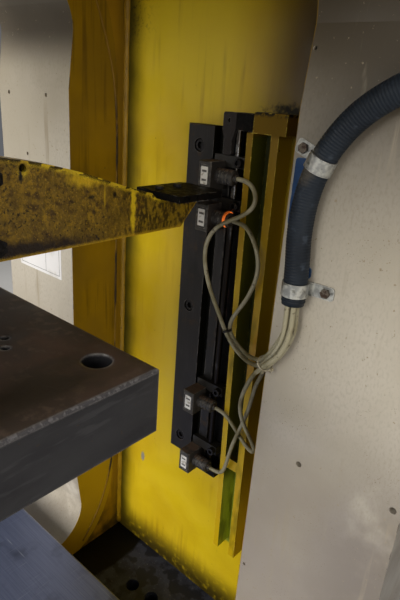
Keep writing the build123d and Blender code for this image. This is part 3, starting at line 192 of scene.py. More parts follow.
# Flexible PVC, extruded: an even matt sheen, with a film of yellow-brown oil in uneven patches.
jacket, tree, shader = material("pvc_jacket", ior=1.52)
dress(
    shader,
    base_color=coat(tree, "a19c82", (patches(tree, 45, 0.45, 0.62), "817a5b"),
                    (patches(tree, 9, 0.62, 0.7, shift=4.0), "5b5340")),
    roughness=coat(tree, 0.5, (patches(tree, 30, 0.4, 0.6), 0.34)),
    normal=bump(tree, (noise(tree, 2.5), 0.08)),
)


def nurbs(name, route, fineness):
    """A smooth curve that a route controls, from its first point to its last."""
    curve = bpy.data.curves.new(name, "CURVE")
    curve.dimensions = "3D"
    curve.resolution_u = fineness
    spline = curve.splines.new("NURBS")
    spline.points.add(len(route) - 1)
    for point, place in zip(spline.points, route):
        point.co = (*place, 1.0)
    spline.order_u = 3
    spline.use_endpoint_u = True
    return curve


for name, (length, route) in CABLES.items():
    curve = nurbs(name + "_jacket", route, fineness=8)
    curve.bevel_depth = CABLE / 2
    curve.bevel_resolution = 5
    curve.use_fill_caps = True
    curve.materials.append(jacket)
    cable = bpy.data.objects.new(name + "_jacket", curve)
    bpy.context.scene.collection.objects.link(cable)
    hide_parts(name)
    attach(cable, "frame")


# Conduit
# Ribbed flexible conduit in blue-grey plastic, from its cut mouth at the lower clamp to the
# junction box on the member's side. The cables go up into its mouth.
CONDUIT = 0.028          # diameter over the ribs
CONDUIT_WALL = 0.0022
RIB = 0.0034             # from one rib to the next
GROOVE = 0.0009          # depth between two ribs
ALONG_A_RIB = (1.0, 0.06, 0.0, 0.06)     # share of the groove's depth, step by step
MOUTH = 0.1225           # Y of the middle of its mouth
MOUTH_DEPTH = 0.003      # how deep its mouth is hollow
CONDUIT_ROUTE = [
    (0.237, MOUTH, 1.464), (0.237, MOUTH, 1.497), (0.2315, MOUTH, 1.548), (0.2365, MOUTH, 1.598),
    (0.254, MOUTH, 1.640), (0.283, MOUTH, 1.676), (0.325, MOUTH, 1.702), (0.375, MOUTH, 1.724),
    (0.420, MOUTH, 1.735), (0.457, 0.144, 1.744), (0.478, 0.182, 1.749), (0.478, 0.226, 1.749)]


def smooth_line(route, step):
    """Points a step apart on the NURBS line that a route controls."""
    holder = bpy.data.objects.new("line", nurbs("line", route, fineness=24))
    mesh = bpy.data.meshes.new_from_object(holder)
    line = [vertex.co.copy() for vertex in mesh.vertices]
    bpy.data.objects.remove(holder)
    points = [line[0]]
    travelled = 0.0
    for start, end in zip(line, line[1:]):
        run = (end - start).length
        while travelled + run >= step * len(points):
            share = (step * len(points) - travelled) / run
            points.append(start.lerp(end, share))
        travelled += run
    if (line[-1] - points[-1]).length > step / 2:
        points.append(line[-1])
    return points


def tube(stations, sides):
    """A closed bmesh tube through stations, each a point, a heading and a radius."""
    mesh = bmesh.new()
    place, heading, radius = stations[0]
    turn = Vector((0, 0, 1)).rotation_difference(heading).to_matrix().to_4x4()
    bmesh.ops.create_circle(mesh, cap_ends=True, radius=radius, segments=sides,
                            matrix=Matrix.Translation(place) @ turn)
    rim = list(mesh.edges)
    for (start, old_heading, old_radius), (end, new_heading, new_radius) in zip(stations, stations[1:]):
        grown = bmesh.ops.extrude_edge_only(mesh, edges=rim)["geom"]
        ring = {part for part in grown if isinstance(part, bmesh.types.BMVert)}
        rim = [part for part in grown if isinstance(part, bmesh.types.BMEdge) and set(part.verts) <= ring]
        turn = old_heading.rotation_difference(new_heading).to_matrix().to_4x4()
        size = Matrix.Scale(new_radius / old_radius, 4)
        move = Matrix.Translation(end) @ turn @ size @ Matrix.Translation(-start)
        bmesh.ops.transform(mesh, matrix=move, verts=list(ring))
    bmesh.ops.contextual_create(mesh, geom=rim)
    bmesh.ops.recalc_face_normals(mesh, faces=mesh.faces)
    return mesh


def headings(points):
    """The direction of a line at each of its points."""
    ways = [(after - before).normalized() for before, after in zip(points, points[2:])]
    return [(points[1] - points[0]).normalized(), *ways, (points[-1] - points[-2]).normalized()]


def piece(name, mesh, finish, smooth=True):
    """Makes a bmesh a piece that rides on the frame and wears a finish."""
    data = bpy.data.meshes.new(name)
    for face in mesh.faces:
        face.smooth = smooth
    mesh.to_mesh(data)
    mesh.free()
    data.materials.append(finish)
    made = bpy.data.objects.new(name, data)
    bpy.context.scene.collection.objects.link(made)
    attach(made, "frame")
    return made


def near(tree, centre, reach, ragged=0.0, size=30.0, soft=0.5):
    """A mask round a centre, with a reach in metres along each axis and a ragged edge."""
    place = node(tree, "TexCoord").outputs["Object"]
    offset = node(tree, "VectorMath", {0: place, 1: centre}, operation="SUBTRACT")
    offset = node(tree, "VectorMath", {0: offset, 1: reach}, operation="DIVIDE")
    far = node(tree, "VectorMath", {0: offset}, operation="LENGTH").outputs["Value"]
    far = node(tree, "Math", {0: noise(tree, size), 1: 2 * ragged, 2: far}, operation="MULTIPLY_ADD")
    return ramp(tree, far, 1.0 + ragged, (1.0 + ragged) * (1.0 - soft))


# Moulded polyamide: dull and even, with greasy and dusty patches and a pale scuff beside its
# upper clamp.
ribbed_plastic, tree, shader = material("ribbed_polyamide", ior=1.53)
dress(
    shader,
    base_color=coat(tree, "252d37", (patches(tree, 60, 0.42, 0.62), "1b222b"),
                    (patches(tree, 14, 0.60, 0.74, shift=2.0), "3d4652"),
                    (near(tree, (0.235, 0.11, 1.62), (0.02, 0.02, 0.03), 0.4, 10), "4e4c47")),
    roughness=coat(tree, 0.62, (patches(tree, 25, 0.4, 0.6), 0.5)),
    specular_ior_level=0.2,
)

line = smooth_line(CONDUIT_ROUTE, RIB / len(ALONG_A_RIB))
ways = headings(line)
mouth_edge = line[0] - ways[0] * MOUTH_DEPTH
inner = CONDUIT / 2 - CONDUIT_WALL
stations = [(line[0], ways[0], inner), (mouth_edge, ways[0], inner),
            (mouth_edge, ways[0], CONDUIT / 2 - GROOVE)]
for number, (place, way) in enumerate(zip(line, ways)):
    deep = ALONG_A_RIB[number % len(ALONG_A_RIB)]
    stations.append((place, way, CONDUIT / 2 - GROOVE * deep))
conduit = piece("ribbed_conduit", tube(stations, sides=28), ribbed_plastic)
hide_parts("conduit")


# Side members
# Welded box plates in cream machine enamel, brushed and sprayed over the years. Painted shade darkens it
# near the ram and the head, drips have run down it, and the inner sides are sprayed yellow.
THROAT_FACE = 0.138      # Y of the bars' front
INNER_PAINT = (0.2033, 0.0009)       # X of the inner faces, and how far from it the yellow goes


def wear(names, finish):
    """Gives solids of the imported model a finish."""
    for name in names:
        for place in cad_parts[name].material_slots:
            place.material = finish


def along(tree, axis, low, high):
    """A mask that rises from 0 to 1 between two places on an axis, in metres."""
    place = node(tree, "TexCoord").outputs["Object"]
    return ramp(tree, node(tree, "SeparateXYZ", {0: place}).outputs["XYZ".index(axis)], low, high)


def both(tree, *masks):
    """The product of several masks."""
    product = masks[0]
    for mask in masks[1:]:
        product = node(tree, "Math", {0: product, 1: mask}, operation="MULTIPLY")
    return product


def facing(tree, axis, low, high):
    """A mask of the surfaces that face along an axis: from 0 to 1 between two cosines."""
    flat = node(tree, "NewGeometry").outputs["True Normal"]
    return ramp(tree, node(tree, "SeparateXYZ", {0: flat}).outputs["XYZ".index(axis)], low, high)


def edges(tree, radius):
    """A mask of the sharp edges within a radius in millimetres."""
    rounded = node(tree, "Bevel", {"Radius": radius / 1000}, samples=6)
    flat = node(tree, "NewGeometry").outputs["True Normal"]
    turn = node(tree, "VectorMath", {0: rounded, 1: flat}, operation="DOT_PRODUCT")
    return ramp(tree, turn.outputs["Value"], 0.985, 0.93)


def specks(tree, spacing, size, share, shift=0.0):
    """A mask of round specks, spacing and size in millimetres. Only a share of the places has one."""
    place = node(tree, "TexCoord").outputs["Object"]
    place = node(tree, "Mapping", {"Vector": place, "Location": (shift, shift, shift)})
    cells = node(tree, "TexVoronoi", {"Vector": place, "Scale": 1000 / spacing})
    dot = ramp(tree, cells.outputs["Distance"], 0.6 * size / spacing, 0.35 * size / spacing)
    lucky = node(tree, "Math", {0: cells.outputs["Color"], 1: share}, operation="LESS_THAN")
    return node(tree, "Math", {0: dot, 1: lucky}, operation="MULTIPLY")


def inner_streaks(tree):
    """A mask of the long streaks down the members' inner faces."""
    return both(tree, patches(tree, 9, 0.48, 0.7, stretch=(1, 1, 22)), patches(tree, 110, 0.4, 0.6))


def inner_side(tree):
    """A mask of what lies on the members' inner faces."""
    place = node(tree, "TexCoord").outputs["Object"]
    across = node(tree, "SeparateXYZ", {0: place}).outputs["X"]
    across = node(tree, "Math", {0: across}, operation="ABSOLUTE")
    return node(tree, "Math", {0: across, 1: INNER_PAINT[0], 2: INNER_PAINT[1]}, operation="COMPARE")


# Alkyd enamel: a soft gloss with fine orange peel, dulled by dust and finger grease. Painted shade darkens
# it towards the head, behind the ram and low on the right, and it is dirty at the feet.
cream, tree, shader = material("cream_alkyd_enamel", ior=1.5)
# Painted shade: darker towards the head, darkest just under it, and on the throat face's upper right where
# the ram's shadow falls.
shaded = both(tree, along(tree, "Z", 1.40, 1.80), patches(tree, 260, 0.25, 0.75))
throat_face = both(tree, facing(tree, "Y", -0.6, -0.9), along(tree, "Y", -0.1, 0.1))
upper_right_shadow = both(tree, throat_face, along(tree, "Z", 1.50, 1.74), along(tree, "X", 0.0, 0.3))
head_shadow = both(tree, throat_face, along(tree, "Z", 1.690, 1.760))
# Painted shade: darker low down, and darker again low on the right.
low_shade = both(tree, along(tree, "Z", 1.42, 1.12), patches(tree, 210, 0.2, 0.6))
low_right_shade = both(tree, along(tree, "Z", 1.40, 1.16), along(tree, "X", 0.24, 0.40),
                 patches(tree, 60, 0.1, 0.5))
brush_marks = patches(tree, 3.0, 0.46, 0.66, stretch=(1, 1, 2), shift=9.0)
# The inner sides' yellow is painted darker than the wall's as painted shade, lighter low down, with
# streaks.
shaded_inner_yellow = coat(tree, "947300", (patches(tree, 90, 0.35, 0.7), "866800"),
                    (inner_streaks(tree), "6b5003"), (along(tree, "Z", 1.12, 0.92), "ac8c0a"))
scrubbed = near(tree, (-0.235, THROAT_FACE, 0.870), (0.05, 0.02, 0.06), 0.5, 20, 0.6)
smudge = near(tree, (-0.31, THROAT_FACE, 0.770), (0.06, 0.02, 0.05), 0.5, 9, 0.9)
drips = both(tree, patches(tree, 16, 0.58, 0.72, stretch=(1, 1, 14)), patches(tree, 220, 0.45, 0.6))
foot_dirt = both(tree, along(tree, "Z", 0.30, 0.02), patches(tree, 40, 0.3, 0.6))
chips = specks(tree, 26, 3.2, 0.16)
worn = both(tree, edges(tree, 2.0), patches(tree, 18, 0.52, 0.6))
dress(
    shader,
    base_color=coat(
        tree, "bdb7aa", (patches(tree, 180, 0.4, 0.65), "b1aa9a"), (brush_marks, "b2ac9e"),
        (shaded, "9c927e"), (upper_right_shadow, "4d4434"), (head_shadow, "544c3f"), (low_shade, "9a9184"),
        (low_right_shade, "7e766b"), (drips, "9e9481"), (foot_dirt, "6f6657"), (scrubbed, "d6d0c4"),
        (smudge, "5c5347"),
        (patches(tree, 5, 0.68, 0.74, shift=3.0), "968a74"),
        (both(tree, patches(tree, 1.6, 0.66, 0.7), patches(tree, 70, 0.5, 0.62)), "6d5f49"),
        (inner_side(tree), shaded_inner_yellow), (chips, "3a3026"), (worn, "4a4038")),
    roughness=coat(tree, 0.36, (patches(tree, 90, 0.35, 0.65), 0.52), (worn, 0.6)),
    normal=bump(tree, (noise(tree, 2.2, detail=1.0), 0.05), (noise(tree, 60), 0.5)),
)
wear(["right_throat_bar", "left_throat_bar", "right_rim", "left_rim", "right_outer_web",
      "left_outer_web", "bed_front_plate"], cream)


# Recess
# The plates between and inside the members, sprayed in yellow enamel. Grease and black dust have settled
# above the switch channel and in the corners, coolant has streaked the wall, and painted light and shade
# fall across it.
WALL = 0.254             # Y of its front
RECESS = 0.2035          # from the press's middle to either inner face

yellow, tree, shader = material("yellow_alkyd_enamel", ior=1.5)
# Painted shade darkens the wall along its left inner corner.
corners = near(tree, (-RECESS, WALL, 1.3), (0.050, 0.05, 9.0), 0.25, 60, 0.7)
low_grease = both(tree, along(tree, "Z", 0.82, 0.742), patches(tree, 14, 0.12, 0.5))
soot = near(tree, (0.122, WALL, 1.666), (0.046, 0.03, 0.012), 0.9, 6, 0.5)
corner_soot = both(tree, near(tree, (-0.19, WALL, 1.80), (0.07, 0.03, 0.10), 0.5, 20, 1.0),
                   patches(tree, 5, 0.54, 0.62))
# Painted light brightens the top of the wall on the left.
top_left_light = both(tree, along(tree, "Z", 1.60, 1.74), along(tree, "X", 0.06, 0.0))
# Painted shadow of the arm and platen on the wall, left of the middle.
mid_wall_shadow = near(tree, (-0.13, WALL, 1.24), (0.10, 0.03, 0.24), 0.2, 60, 1.0)
# Painted shadow of the right throat bar, on the wall beside it.
throat_bar_shadow = both(tree, along(tree, "X", 0.11, 0.165), along(tree, "Z", 0.93, 1.15))
# Painted shade darkens the wall's upper right.
upper_right_shade = both(tree, along(tree, "X", 0.04, 0.13), along(tree, "Z", 1.50, 1.72))

# Between the channel's two bars the wall is painted a greenish shade colour, and painted shadow darkens it
# from there up.
between_bars_shade = both(tree, along(tree, "X", 0.078, 0.080), along(tree, "X", 0.131, 0.129),
                   along(tree, "Z", 1.64, 1.63), along(tree, "Z", 0.897, 0.902))
upper_channel_shadow = both(tree, between_bars_shade, along(tree, "Z", 1.03, 1.10))

# Painted shadow: a dark line on the wall at the foot of the channel's left bar, with some grime.
bar_foot_shadow = both(tree, near(tree, (0.080, WALL, 1.25), (0.006, 0.02, 0.42), 0.3, 9, 0.6),
               patches(tree, 30, 0.3, 0.5))
streaks = both(tree, patches(tree, 12, 0.5, 0.75, stretch=(1, 1, 16)), patches(tree, 150, 0.4, 0.7))
dots = specks(tree, 17, 2.6, 0.2)
pips = specks(tree, 6, 1.4, 0.45, shift=5.0)
chip = near(tree, (-0.132, WALL, 0.963), (0.006, 0.02, 0.014), 0.3, 5, 0.3)
dress(
    shader,
    base_color=coat(
        tree, "d9bd1c", (patches(tree, 120, 0.35, 0.7), "cdae18"), (top_left_light, "ead022"),
        (mid_wall_shadow, "ac8e0c"), (streaks, "b08f14"), (corners, "4d4606"), (upper_right_shade, "685004"),
        (throat_bar_shadow, "2a1b03"), (low_grease, "4f430f"), (bar_foot_shadow, "5d4a0a"), (between_bars_shade, "a3b43a"),
        (upper_channel_shadow, "34380f"), (soot, "191705"), (corner_soot, "1d1a08"),
        (pips, "7d6710"), (dots, "3a2f0c"), (chip, "8d8a80")),
    roughness=coat(tree, 0.3, (patches(tree, 50, 0.35, 0.65), 0.46), (soot, 0.7), (low_grease, 0.28)),
    normal=bump(tree, (noise(tree, 2.4, detail=1.0), 0.06), (noise(tree, 70), 0.5)),
)
wear(["back_wall", "head_block"], yellow)

# The members' inner faces are the same enamel, painted darker and more orange as painted shade.
shaded_yellow, tree, shader = material("shaded_yellow_enamel", ior=1.5)
streaks = inner_streaks(tree)
# Painted shade darkens it towards the back corner.
corner = both(tree, along(tree, "Y", 0.225, WALL), patches(tree, 80, 0.2, 0.7, stretch=(1, 1, 4)))
low_grease = both(tree, along(tree, "Z", 0.86, 0.73), patches(tree, 30, 0.3, 0.65))
dots = specks(tree, 20, 3.0, 0.14)
dress(
    shader,
    base_color=coat(
        tree, "a07a06", (patches(tree, 90, 0.35, 0.7), "947006"), (streaks, "6b4f05"),
        (corner, "644f08"), (low_grease, "33290a"), (dots, "241c08")),
    roughness=coat(tree, 0.34, (patches(tree, 50, 0.35, 0.65), 0.5)),
    normal=bump(tree, (noise(tree, 2.4, detail=1.0), 0.06), (noise(tree, 60), 0.5)),
)
wear(["right_inner_web", "left_inner_web"], shaded_yellow)


# Recess floor
# Hot-rolled plate, never painted, black with oil and dust. A pool of oil stands in its left back corner,
# painted near black and dull also as the shadow that falls there.
floor_steel, tree, shader = material("oiled_mill_plate", metallic=0.05)
# The pool is both oil and painted shadow.
oil_pool_shadow = near(tree, (-0.205, 0.19, 0.733), (0.088, 0.17, 0.05), 0.06, 26, 0.08)
film = patches(tree, 35, 0.48, 0.55)
dress(
    shader,
    base_color=coat(tree, "3d404c", (patches(tree, 22, 0.4, 0.65), "30323c"),
                    (patches(tree, 4, 0.62, 0.7), "52525a"), (film, "23252d"), (oil_pool_shadow, "010101")),
    roughness=coat(tree, 0.7, (film, 0.5), (oil_pool_shadow, 0.45)),
    specular_ior_level=0.2,
    normal=bump(tree, (coat(tree, 1.0, (oil_pool_shadow, 0.0)), 0.6), (noise(tree, 3.0), 0.2)),
)
wear(["bed_floor_plate", "bed_rib"], floor_steel)


# Bolster
# Ground steel table under a film of oil, with fine scratches from tools slid across it. Its blue-grey is
# painted: the steel's grey with a blue cast of reflected window light.
bolster_steel, tree, shader = material("ground_tool_steel", metallic=0.85)
grinding = noise(tree, 1.6, stretch=(60, 1, 1), detail=2.0)
scratch_a = both(tree, patches(tree, 1.6, 0.64, 0.72, stretch=(1, 90, 1), detail=1.0),
                 patches(tree, 70, 0.48, 0.6))
scratch_b = both(tree, patches(tree, 1.8, 0.64, 0.72, stretch=(60, 1, 1), detail=1.0),
                 patches(tree, 90, 0.5, 0.62, shift=3.0))
stains = patches(tree, 55, 0.5, 0.7)

# One long scratch runs across the table from side to side.
long_scratch = both(tree, along(tree, "Y", -0.0066, -0.0060), along(tree, "Y", -0.0044, -0.0050),
                    patches(tree, 12, 0.44, 0.60, stretch=(5, 1, 1), shift=2.0))

rubbed = edges(tree, 1.6)
dress(
    shader,
    # Every colour here carries a painted blue cast of reflected window light.
    base_color=coat(tree, "7d87a8", (ramp(tree, grinding, 0.35, 0.7), "727c9b"), (stains, "646c86"),
                    (scratch_a, "8f98b3"), (scratch_b, "8b94ae"), (specks(tree, 30, 2.0, 0.1), "b8bcc8"),
                    (long_scratch, "a4adc4"), (rubbed, "b9b6ab")),
    roughness=coat(tree, 0.42, (stains, 0.3), (scratch_a, 0.3), (rubbed, 0.25)),
    normal=bump(tree, (grinding, 0.03), (scratch_a, 0.04)),
)
wear(["bolster"], bolster_steel)


# Platen
# Milled steel slab. Its top is brown with rust and burnt oil, its sides are blue-grey mill finish, its
# edges are rubbed bright and pitted, and a painted highlight runs along its shoulder.
platen_steel, tree, shader = material("browned_mill_steel", metallic=0.55)
rust = patches(tree, 70, 0.42, 0.68, stretch=(1.6, 1, 1))
rust_fine = patches(tree, 11, 0.5, 0.7)
smear = patches(tree, 45, 0.45, 0.65, stretch=(1, 2.5, 1), shift=7.0)
rubbed = both(tree, edges(tree, 3.2), coat(tree, 1.0, (patches(tree, 5, 0.55, 0.62), 0.35)))
top_colour = coat(tree, "554b46", (rust, "6f5b52"), (rust_fine, "6f6057"), (smear, "4a4441"))
side_colour = coat(tree, "3b3b3f", (patches(tree, 30, 0.4, 0.7, stretch=(3, 3, 1)), "333338"),
                   (patches(tree, 8, 0.58, 0.7, stretch=(6, 6, 1)), "444448"),
                   (patches(tree, 4, 0.66, 0.72), "443c37"))

# Its rounded shoulder turns from the sides' colour to the top's, with a pitted painted highlight along it.
rounded = node(tree, "Bevel", {"Radius": 0.006}, samples=6)
turned = node(tree, "SeparateXYZ", {0: rounded}).outputs["Z"]
shoulder = ramp(tree, turned, 0.15, 0.55)
shoulder_highlight = both(tree, ramp(tree, turned, 0.40, 0.66), ramp(tree, turned, 0.96, 0.80))
bright = coat(tree, side_colour, (shoulder, "4c4949"), (ramp(tree, turned, 0.80, 0.99), top_colour),
              (shoulder_highlight, "757377"), (both(tree, shoulder_highlight, patches(tree, 4, 0.48, 0.60)), "a3a1a4"),
              (rubbed, "8f8d8c"))
dress(
    shader,
    base_color=bright,
    roughness=coat(tree, 0.5, (rust, 0.62), (smear, 0.36), (rubbed, 0.3)),
    normal=bump(tree, (rust_fine, 0.06), (noise(tree, 2.5), 0.05), normal=rounded),
)
wear(["platen"], platen_steel)


# Switch arm
# Flame-cut plate bolted to the ram's collar, painted yellow and then covered with grease and
# brown dust. The paint shows along its top edge and where fingers have wiped it.
ARM_SIDE = 0.034         # X of its flat side

arm_paint, tree, shader = material("greasy_yellow_enamel", ior=1.48)
grime = patches(tree, 24, 0.34, 0.66, detail=8.0)
fine_grime = patches(tree, 3.2, 0.4, 0.6, detail=6.0, shift=3.0)
black = both(tree, patches(tree, 3.6, 0.56, 0.66, detail=4.0, shift=8.0), patches(tree, 30, 0.4, 0.6))
tip = along(tree, "Y", 0.064, 0.072)
runs = both(tree, patches(tree, 4.0, 0.46, 0.60, stretch=(1, 1, 2.2), detail=6.0),
            along(tree, "Y", 0.0, 0.07))
lower_band = both(tree, near(tree, (ARM_SIDE, -0.15, 1.510), (0.03, 0.20, 0.019), 0.35, 12, 0.4),
                  along(tree, "Y", 0.03, -0.02))
shoulder = near(tree, (ARM_SIDE, -0.012, 1.583), (0.02, 0.034, 0.014), 0.4, 7, 0.5)
wiped_a = near(tree, (ARM_SIDE, 0.0125, 1.560), (0.02, 0.0022, 0.022), 0.45, 5, 0.7)
wiped_b = near(tree, (ARM_SIDE, 0.0575, 1.545), (0.02, 0.0058, 0.048), 0.7, 7, 0.4)
spot_a = near(tree, (ARM_SIDE, -0.0075, 1.5614), (0.02, 0.006, 0.0045), 0.4, 4, 0.6)
spot_b = near(tree, (ARM_SIDE, 0.0275, 1.5615), (0.02, 0.0045, 0.006), 0.4, 4, 0.6)

# The paint on its rim and along its foot follows how far the surface is turned, with a ragged edge.
rounded = node(tree, "Bevel", {"Radius": 0.010}, samples=6)
turned = node(tree, "SeparateXYZ", {0: rounded}).outputs["Z"]
tilt = node(tree, "Math", {0: noise(tree, 8), 1: 0.6, 2: turned}, operation="MULTIPLY_ADD")
rim_paint = both(tree, ramp(tree, tilt, 0.36, 0.46), ramp(tree, turned, 0.04, 0.12))
foot_line = ramp(tree, tilt, -0.12, -0.20)
rim = ramp(tree, turned, 0.24, 0.30)

dashes = patches(tree, 8, 0.50, 0.53, stretch=(1, 1.7, 1), shift=6.0)
mottle = both(tree, patches(tree, 8, 0.42, 0.66, detail=7.0, shift=13.0), patches(tree, 26, 0.35, 0.6))
flecks = patches(tree, 2.6, 0.56, 0.68, detail=5.0, shift=11.0)
hole_oil = near(tree, (0.020, -0.092, 1.598), (0.03, 0.0058, 0.0062), 0.25, 4, 0.3)
hole_run = near(tree, (ARM_SIDE, -0.0945, 1.590), (0.01, 0.0030, 0.0080), 0.4, 4, 0.5)
flat_colour = coat(
    tree, "ae8a22", (grime, "72591c"), (fine_grime, "806720"), (tip, "8f751a"), (mottle, "503b18"),
    (flecks, "ad8c2a"), (black, "2b2010"), (runs, "43350f"), (lower_band, "2a1e17"),
    (shoulder, "e0ba24"), (spot_a, "17120c"), (spot_b, "17120c"), (wiped_a, "cba722"),
    (wiped_b, "efcd26"), (foot_line, "cfa722"))
top_colour = coat(tree, "fbdc2e", (grime, "d4b224"), (both(tree, dashes, rim), "0a0907"))
dress(
    shader,
    base_color=coat(tree, flat_colour, (rim_paint, top_colour), (hole_run, "14161a"), (hole_oil, "08090c")),
    roughness=coat(tree, 0.42, (grime, 0.3), (black, 0.5), (rim_paint, 0.34)),
    normal=bump(tree, (grime, 0.35), (fine_grime, 0.2), (noise(tree, 1.8), 0.12)),
)
wear(["switch_arm", "arm_collar"], arm_paint)


# Switch rail
# Machined bars left in oily black steel: the slotted rail, the backing bar beside it, its two
# end blocks and the flag that trips the switches. Corners are handled bright.
rail_steel, tree, shader = material("blackened_bar_steel", metallic=0.6)
brushed = noise(tree, 1.8, stretch=(1, 1, 40), detail=2.0)
greasy = patches(tree, 40, 0.42, 0.66, stretch=(1, 1, 2))
browned = both(tree, patches(tree, 12, 0.5, 0.68, shift=5.0), patches(tree, 60, 0.45, 0.6))
rubbed = both(tree, edges(tree, 1.4), patches(tree, 12, 0.42, 0.56))

# The floor of the slot, between its two sides, is darker.
in_slot = both(tree, along(tree, "Y", 0.2343, 0.2347), along(tree, "X", 0.0106, 0.0110),
               along(tree, "X", 0.0294, 0.0290))
dress(
    shader,
    base_color=coat(tree, "302e2e", (ramp(tree, brushed, 0.35, 0.7), "292828"), (greasy, "201f1f"),
                    (browned, "40352b"), (specks(tree, 12, 1.6, 0.15), "5d5a58"), (rubbed, "77736f"),
                    (in_slot, "15140a")),
    roughness=coat(tree, 0.54, (greasy, 0.42), (browned, 0.65), (rubbed, 0.3)),
    normal=bump(tree, (brushed, 0.03), (noise(tree, 3.0), 0.05)),
)
wear(["rail_plate"], rail_steel)

# The blocks, the backing bar and the flag are the blackest: thick grease over black oxide.
greased_steel, tree, shader = material("greased_black_steel")
clot = patches(tree, 7, 0.5, 0.62, detail=6.0)
rubbed = both(tree, edges(tree, 1.2), patches(tree, 10, 0.5, 0.6))
hanger = both(tree, along(tree, "X", 0.0575, 0.0570), along(tree, "Z", 1.59, 1.60))
dress(
    shader,
    base_color=coat(tree, "080707", (patches(tree, 18, 0.4, 0.6), "0f0d0d"), (clot, "040404"),
                    (patches(tree, 10, 0.62, 0.7, stretch=(1, 1, 4), shift=3.0), "33201c"),
                    (hanger, "322f2f"), (rubbed, "6e6a66")),
    roughness=coat(tree, 0.68, (clot, 0.5), (rubbed, 0.35)),
    specular_ior_level=0.15,
    normal=bump(tree, (clot, 0.3)),
)
wear(["backing_bar", "upper_end_block", "lower_end_block", "switch_flag"], greased_steel)

# The thin rod that the switches slide on is chromed, bright near its top and greasy below.
greasy_rod, tree, shader = material("greasy_chromed_rod", metallic=1.0)
grease = both(tree, along(tree, "Z", 1.56, 1.48), patches(tree, 20, 0.2, 0.45, stretch=(1, 1, 2)))
dress(
    shader,
    base_color=coat(tree, "8e8f92", (patches(tree, 8, 0.45, 0.6), "55524e"), (grease, "262322")),
    roughness=coat(tree, 0.2, (grease, 0.45)),
)
wear(["switch_guide_rod"], greasy_rod)

# Black-oxide screws: dark, faintly blue, dusty in their sockets.
oxide, tree, shader = material("black_oxide_screws", metallic=0.7)
dress(
    shader,
    base_color=coat(tree, "2a292b", (patches(tree, 5, 0.45, 0.6), "1d1b1a"),
                    (patches(tree, 3, 0.6, 0.7), "4a4138")),
    roughness=coat(tree, 0.4, (patches(tree, 6, 0.45, 0.6), 0.55)),
)
wear(["rail_screws", "clamp_screws", "bolster_screws", "cylinder_screws", "ram_screws", "arm_bolts"],
     oxide)

# Hard chromed and ground rod: the ram, the piston and the guide columns.
chrome, tree, shader = material("ground_hard_chrome", metallic=1.0)
ring_marks = noise(tree, 1.5, stretch=(30, 30, 1), detail=1.0)
oil_film = patches(tree, 50, 0.45, 0.65, stretch=(1, 1, 3))
dress(
    shader,
    base_color=coat(tree, "c4c5c8", (oil_film, "a09a8c")),
    roughness=coat(tree, 0.16, (ramp(tree, ring_marks, 0.4, 0.7), 0.22), (oil_film, 0.12)),
    normal=bump(tree, (ring_marks, 0.004)),
)
wear(["ram_rod", "ram_piston", "left_guide_column", "right_guide_column"], chrome)


# Position switches
# Four moulded plastic switches that slide in the rail, with round screwed plugs. Oily dust has
# turned their dark grey brown, and edges are scuffed pale.
housing, tree, shader = material("moulded_nylon", ior=1.53)
dusty = patches(tree, 9, 0.42, 0.62)
scuffed = both(tree, edges(tree, 1.0), patches(tree, 6, 0.46, 0.58))
greasy = along(tree, "Y", 0.2236, 0.2246)
browned = both(tree, facing(tree, "Z", 0.7, 0.9), patches(tree, 14, 0.3, 0.5))
dress(
    shader,
    base_color=coat(tree, "302e2d", (dusty, "3d3a36"), (patches(tree, 5, 0.56, 0.66, shift=4.0), "1e1b19"),
                    (browned, "57463a"), (scuffed, "8c887f"), (greasy, "16130e")),
    roughness=coat(tree, 0.48, (dusty, 0.6), (scuffed, 0.5)),
    normal=bump(tree, (noise(tree, 1.6), 0.05)),
)
wear(["switch_1", "switch_2", "switch_3", "switch_4", "switch_plugs"], housing)

# Each switch has a white label in the pocket on its front, bare but for two grey bars.
LABEL = (0.0128, 0.0005, 0.0250)     # width, thickness, height
LABEL_CORNER = 0.0012
LABEL_BAR = (0.0084, 0.0030)
BAR_RISE = 0.0062        # a bar's middle above or below the label's
INK = 0.0001             # thickness of a print
FACE_MIDDLE = (0.011, 0.0006, 0.020)     # of the housing's front, from its lower left corner


def add_box(mesh, middle, size):
    """Adds a box of this size round a middle. Gives its corners."""
    place = Matrix.Translation(middle) @ Matrix.Diagonal((*size, 1.0))
    return bmesh.ops.create_cube(mesh, size=1.0, matrix=place)["verts"]


def round_off(mesh, lines, radius, segments):
    """Rounds some edges of a mesh."""
    bmesh.ops.bevel(mesh, geom=lines, offset=radius, offset_type="OFFSET", affect="EDGES",
                    segments=segments, profile=0.5, material=-1)


def slab(middle, size, corner, segments):
    """A flat plate that faces the front, with round corners."""
    mesh = bmesh.new()
    add_box(mesh, middle, size)
    short = [edge for edge in mesh.edges if abs(edge.verts[0].co.y - edge.verts[1].co.y) > size[1] / 2]
    round_off(mesh, short, corner, segments)
    return mesh


label_paper, tree, shader = material("laminated_label", ior=1.47)
dress(
    shader,
    base_color=coat(tree, "e6e5e0", (patches(tree, 7, 0.52, 0.66), "b3ada0"),
                    (edges(tree, 0.8), "8f8a80")),
    roughness=coat(tree, 0.3, (patches(tree, 7, 0.5, 0.6), 0.5)),
)
label_ink, tree, shader = material("grey_label_print", ior=1.47)
dress(shader, base_color=coat(tree, "5c5a56", (patches(tree, 3, 0.5, 0.6), "7b7974")),
      roughness=coat(tree, 0.35, (patches(tree, 5, 0.5, 0.6), 0.5)))

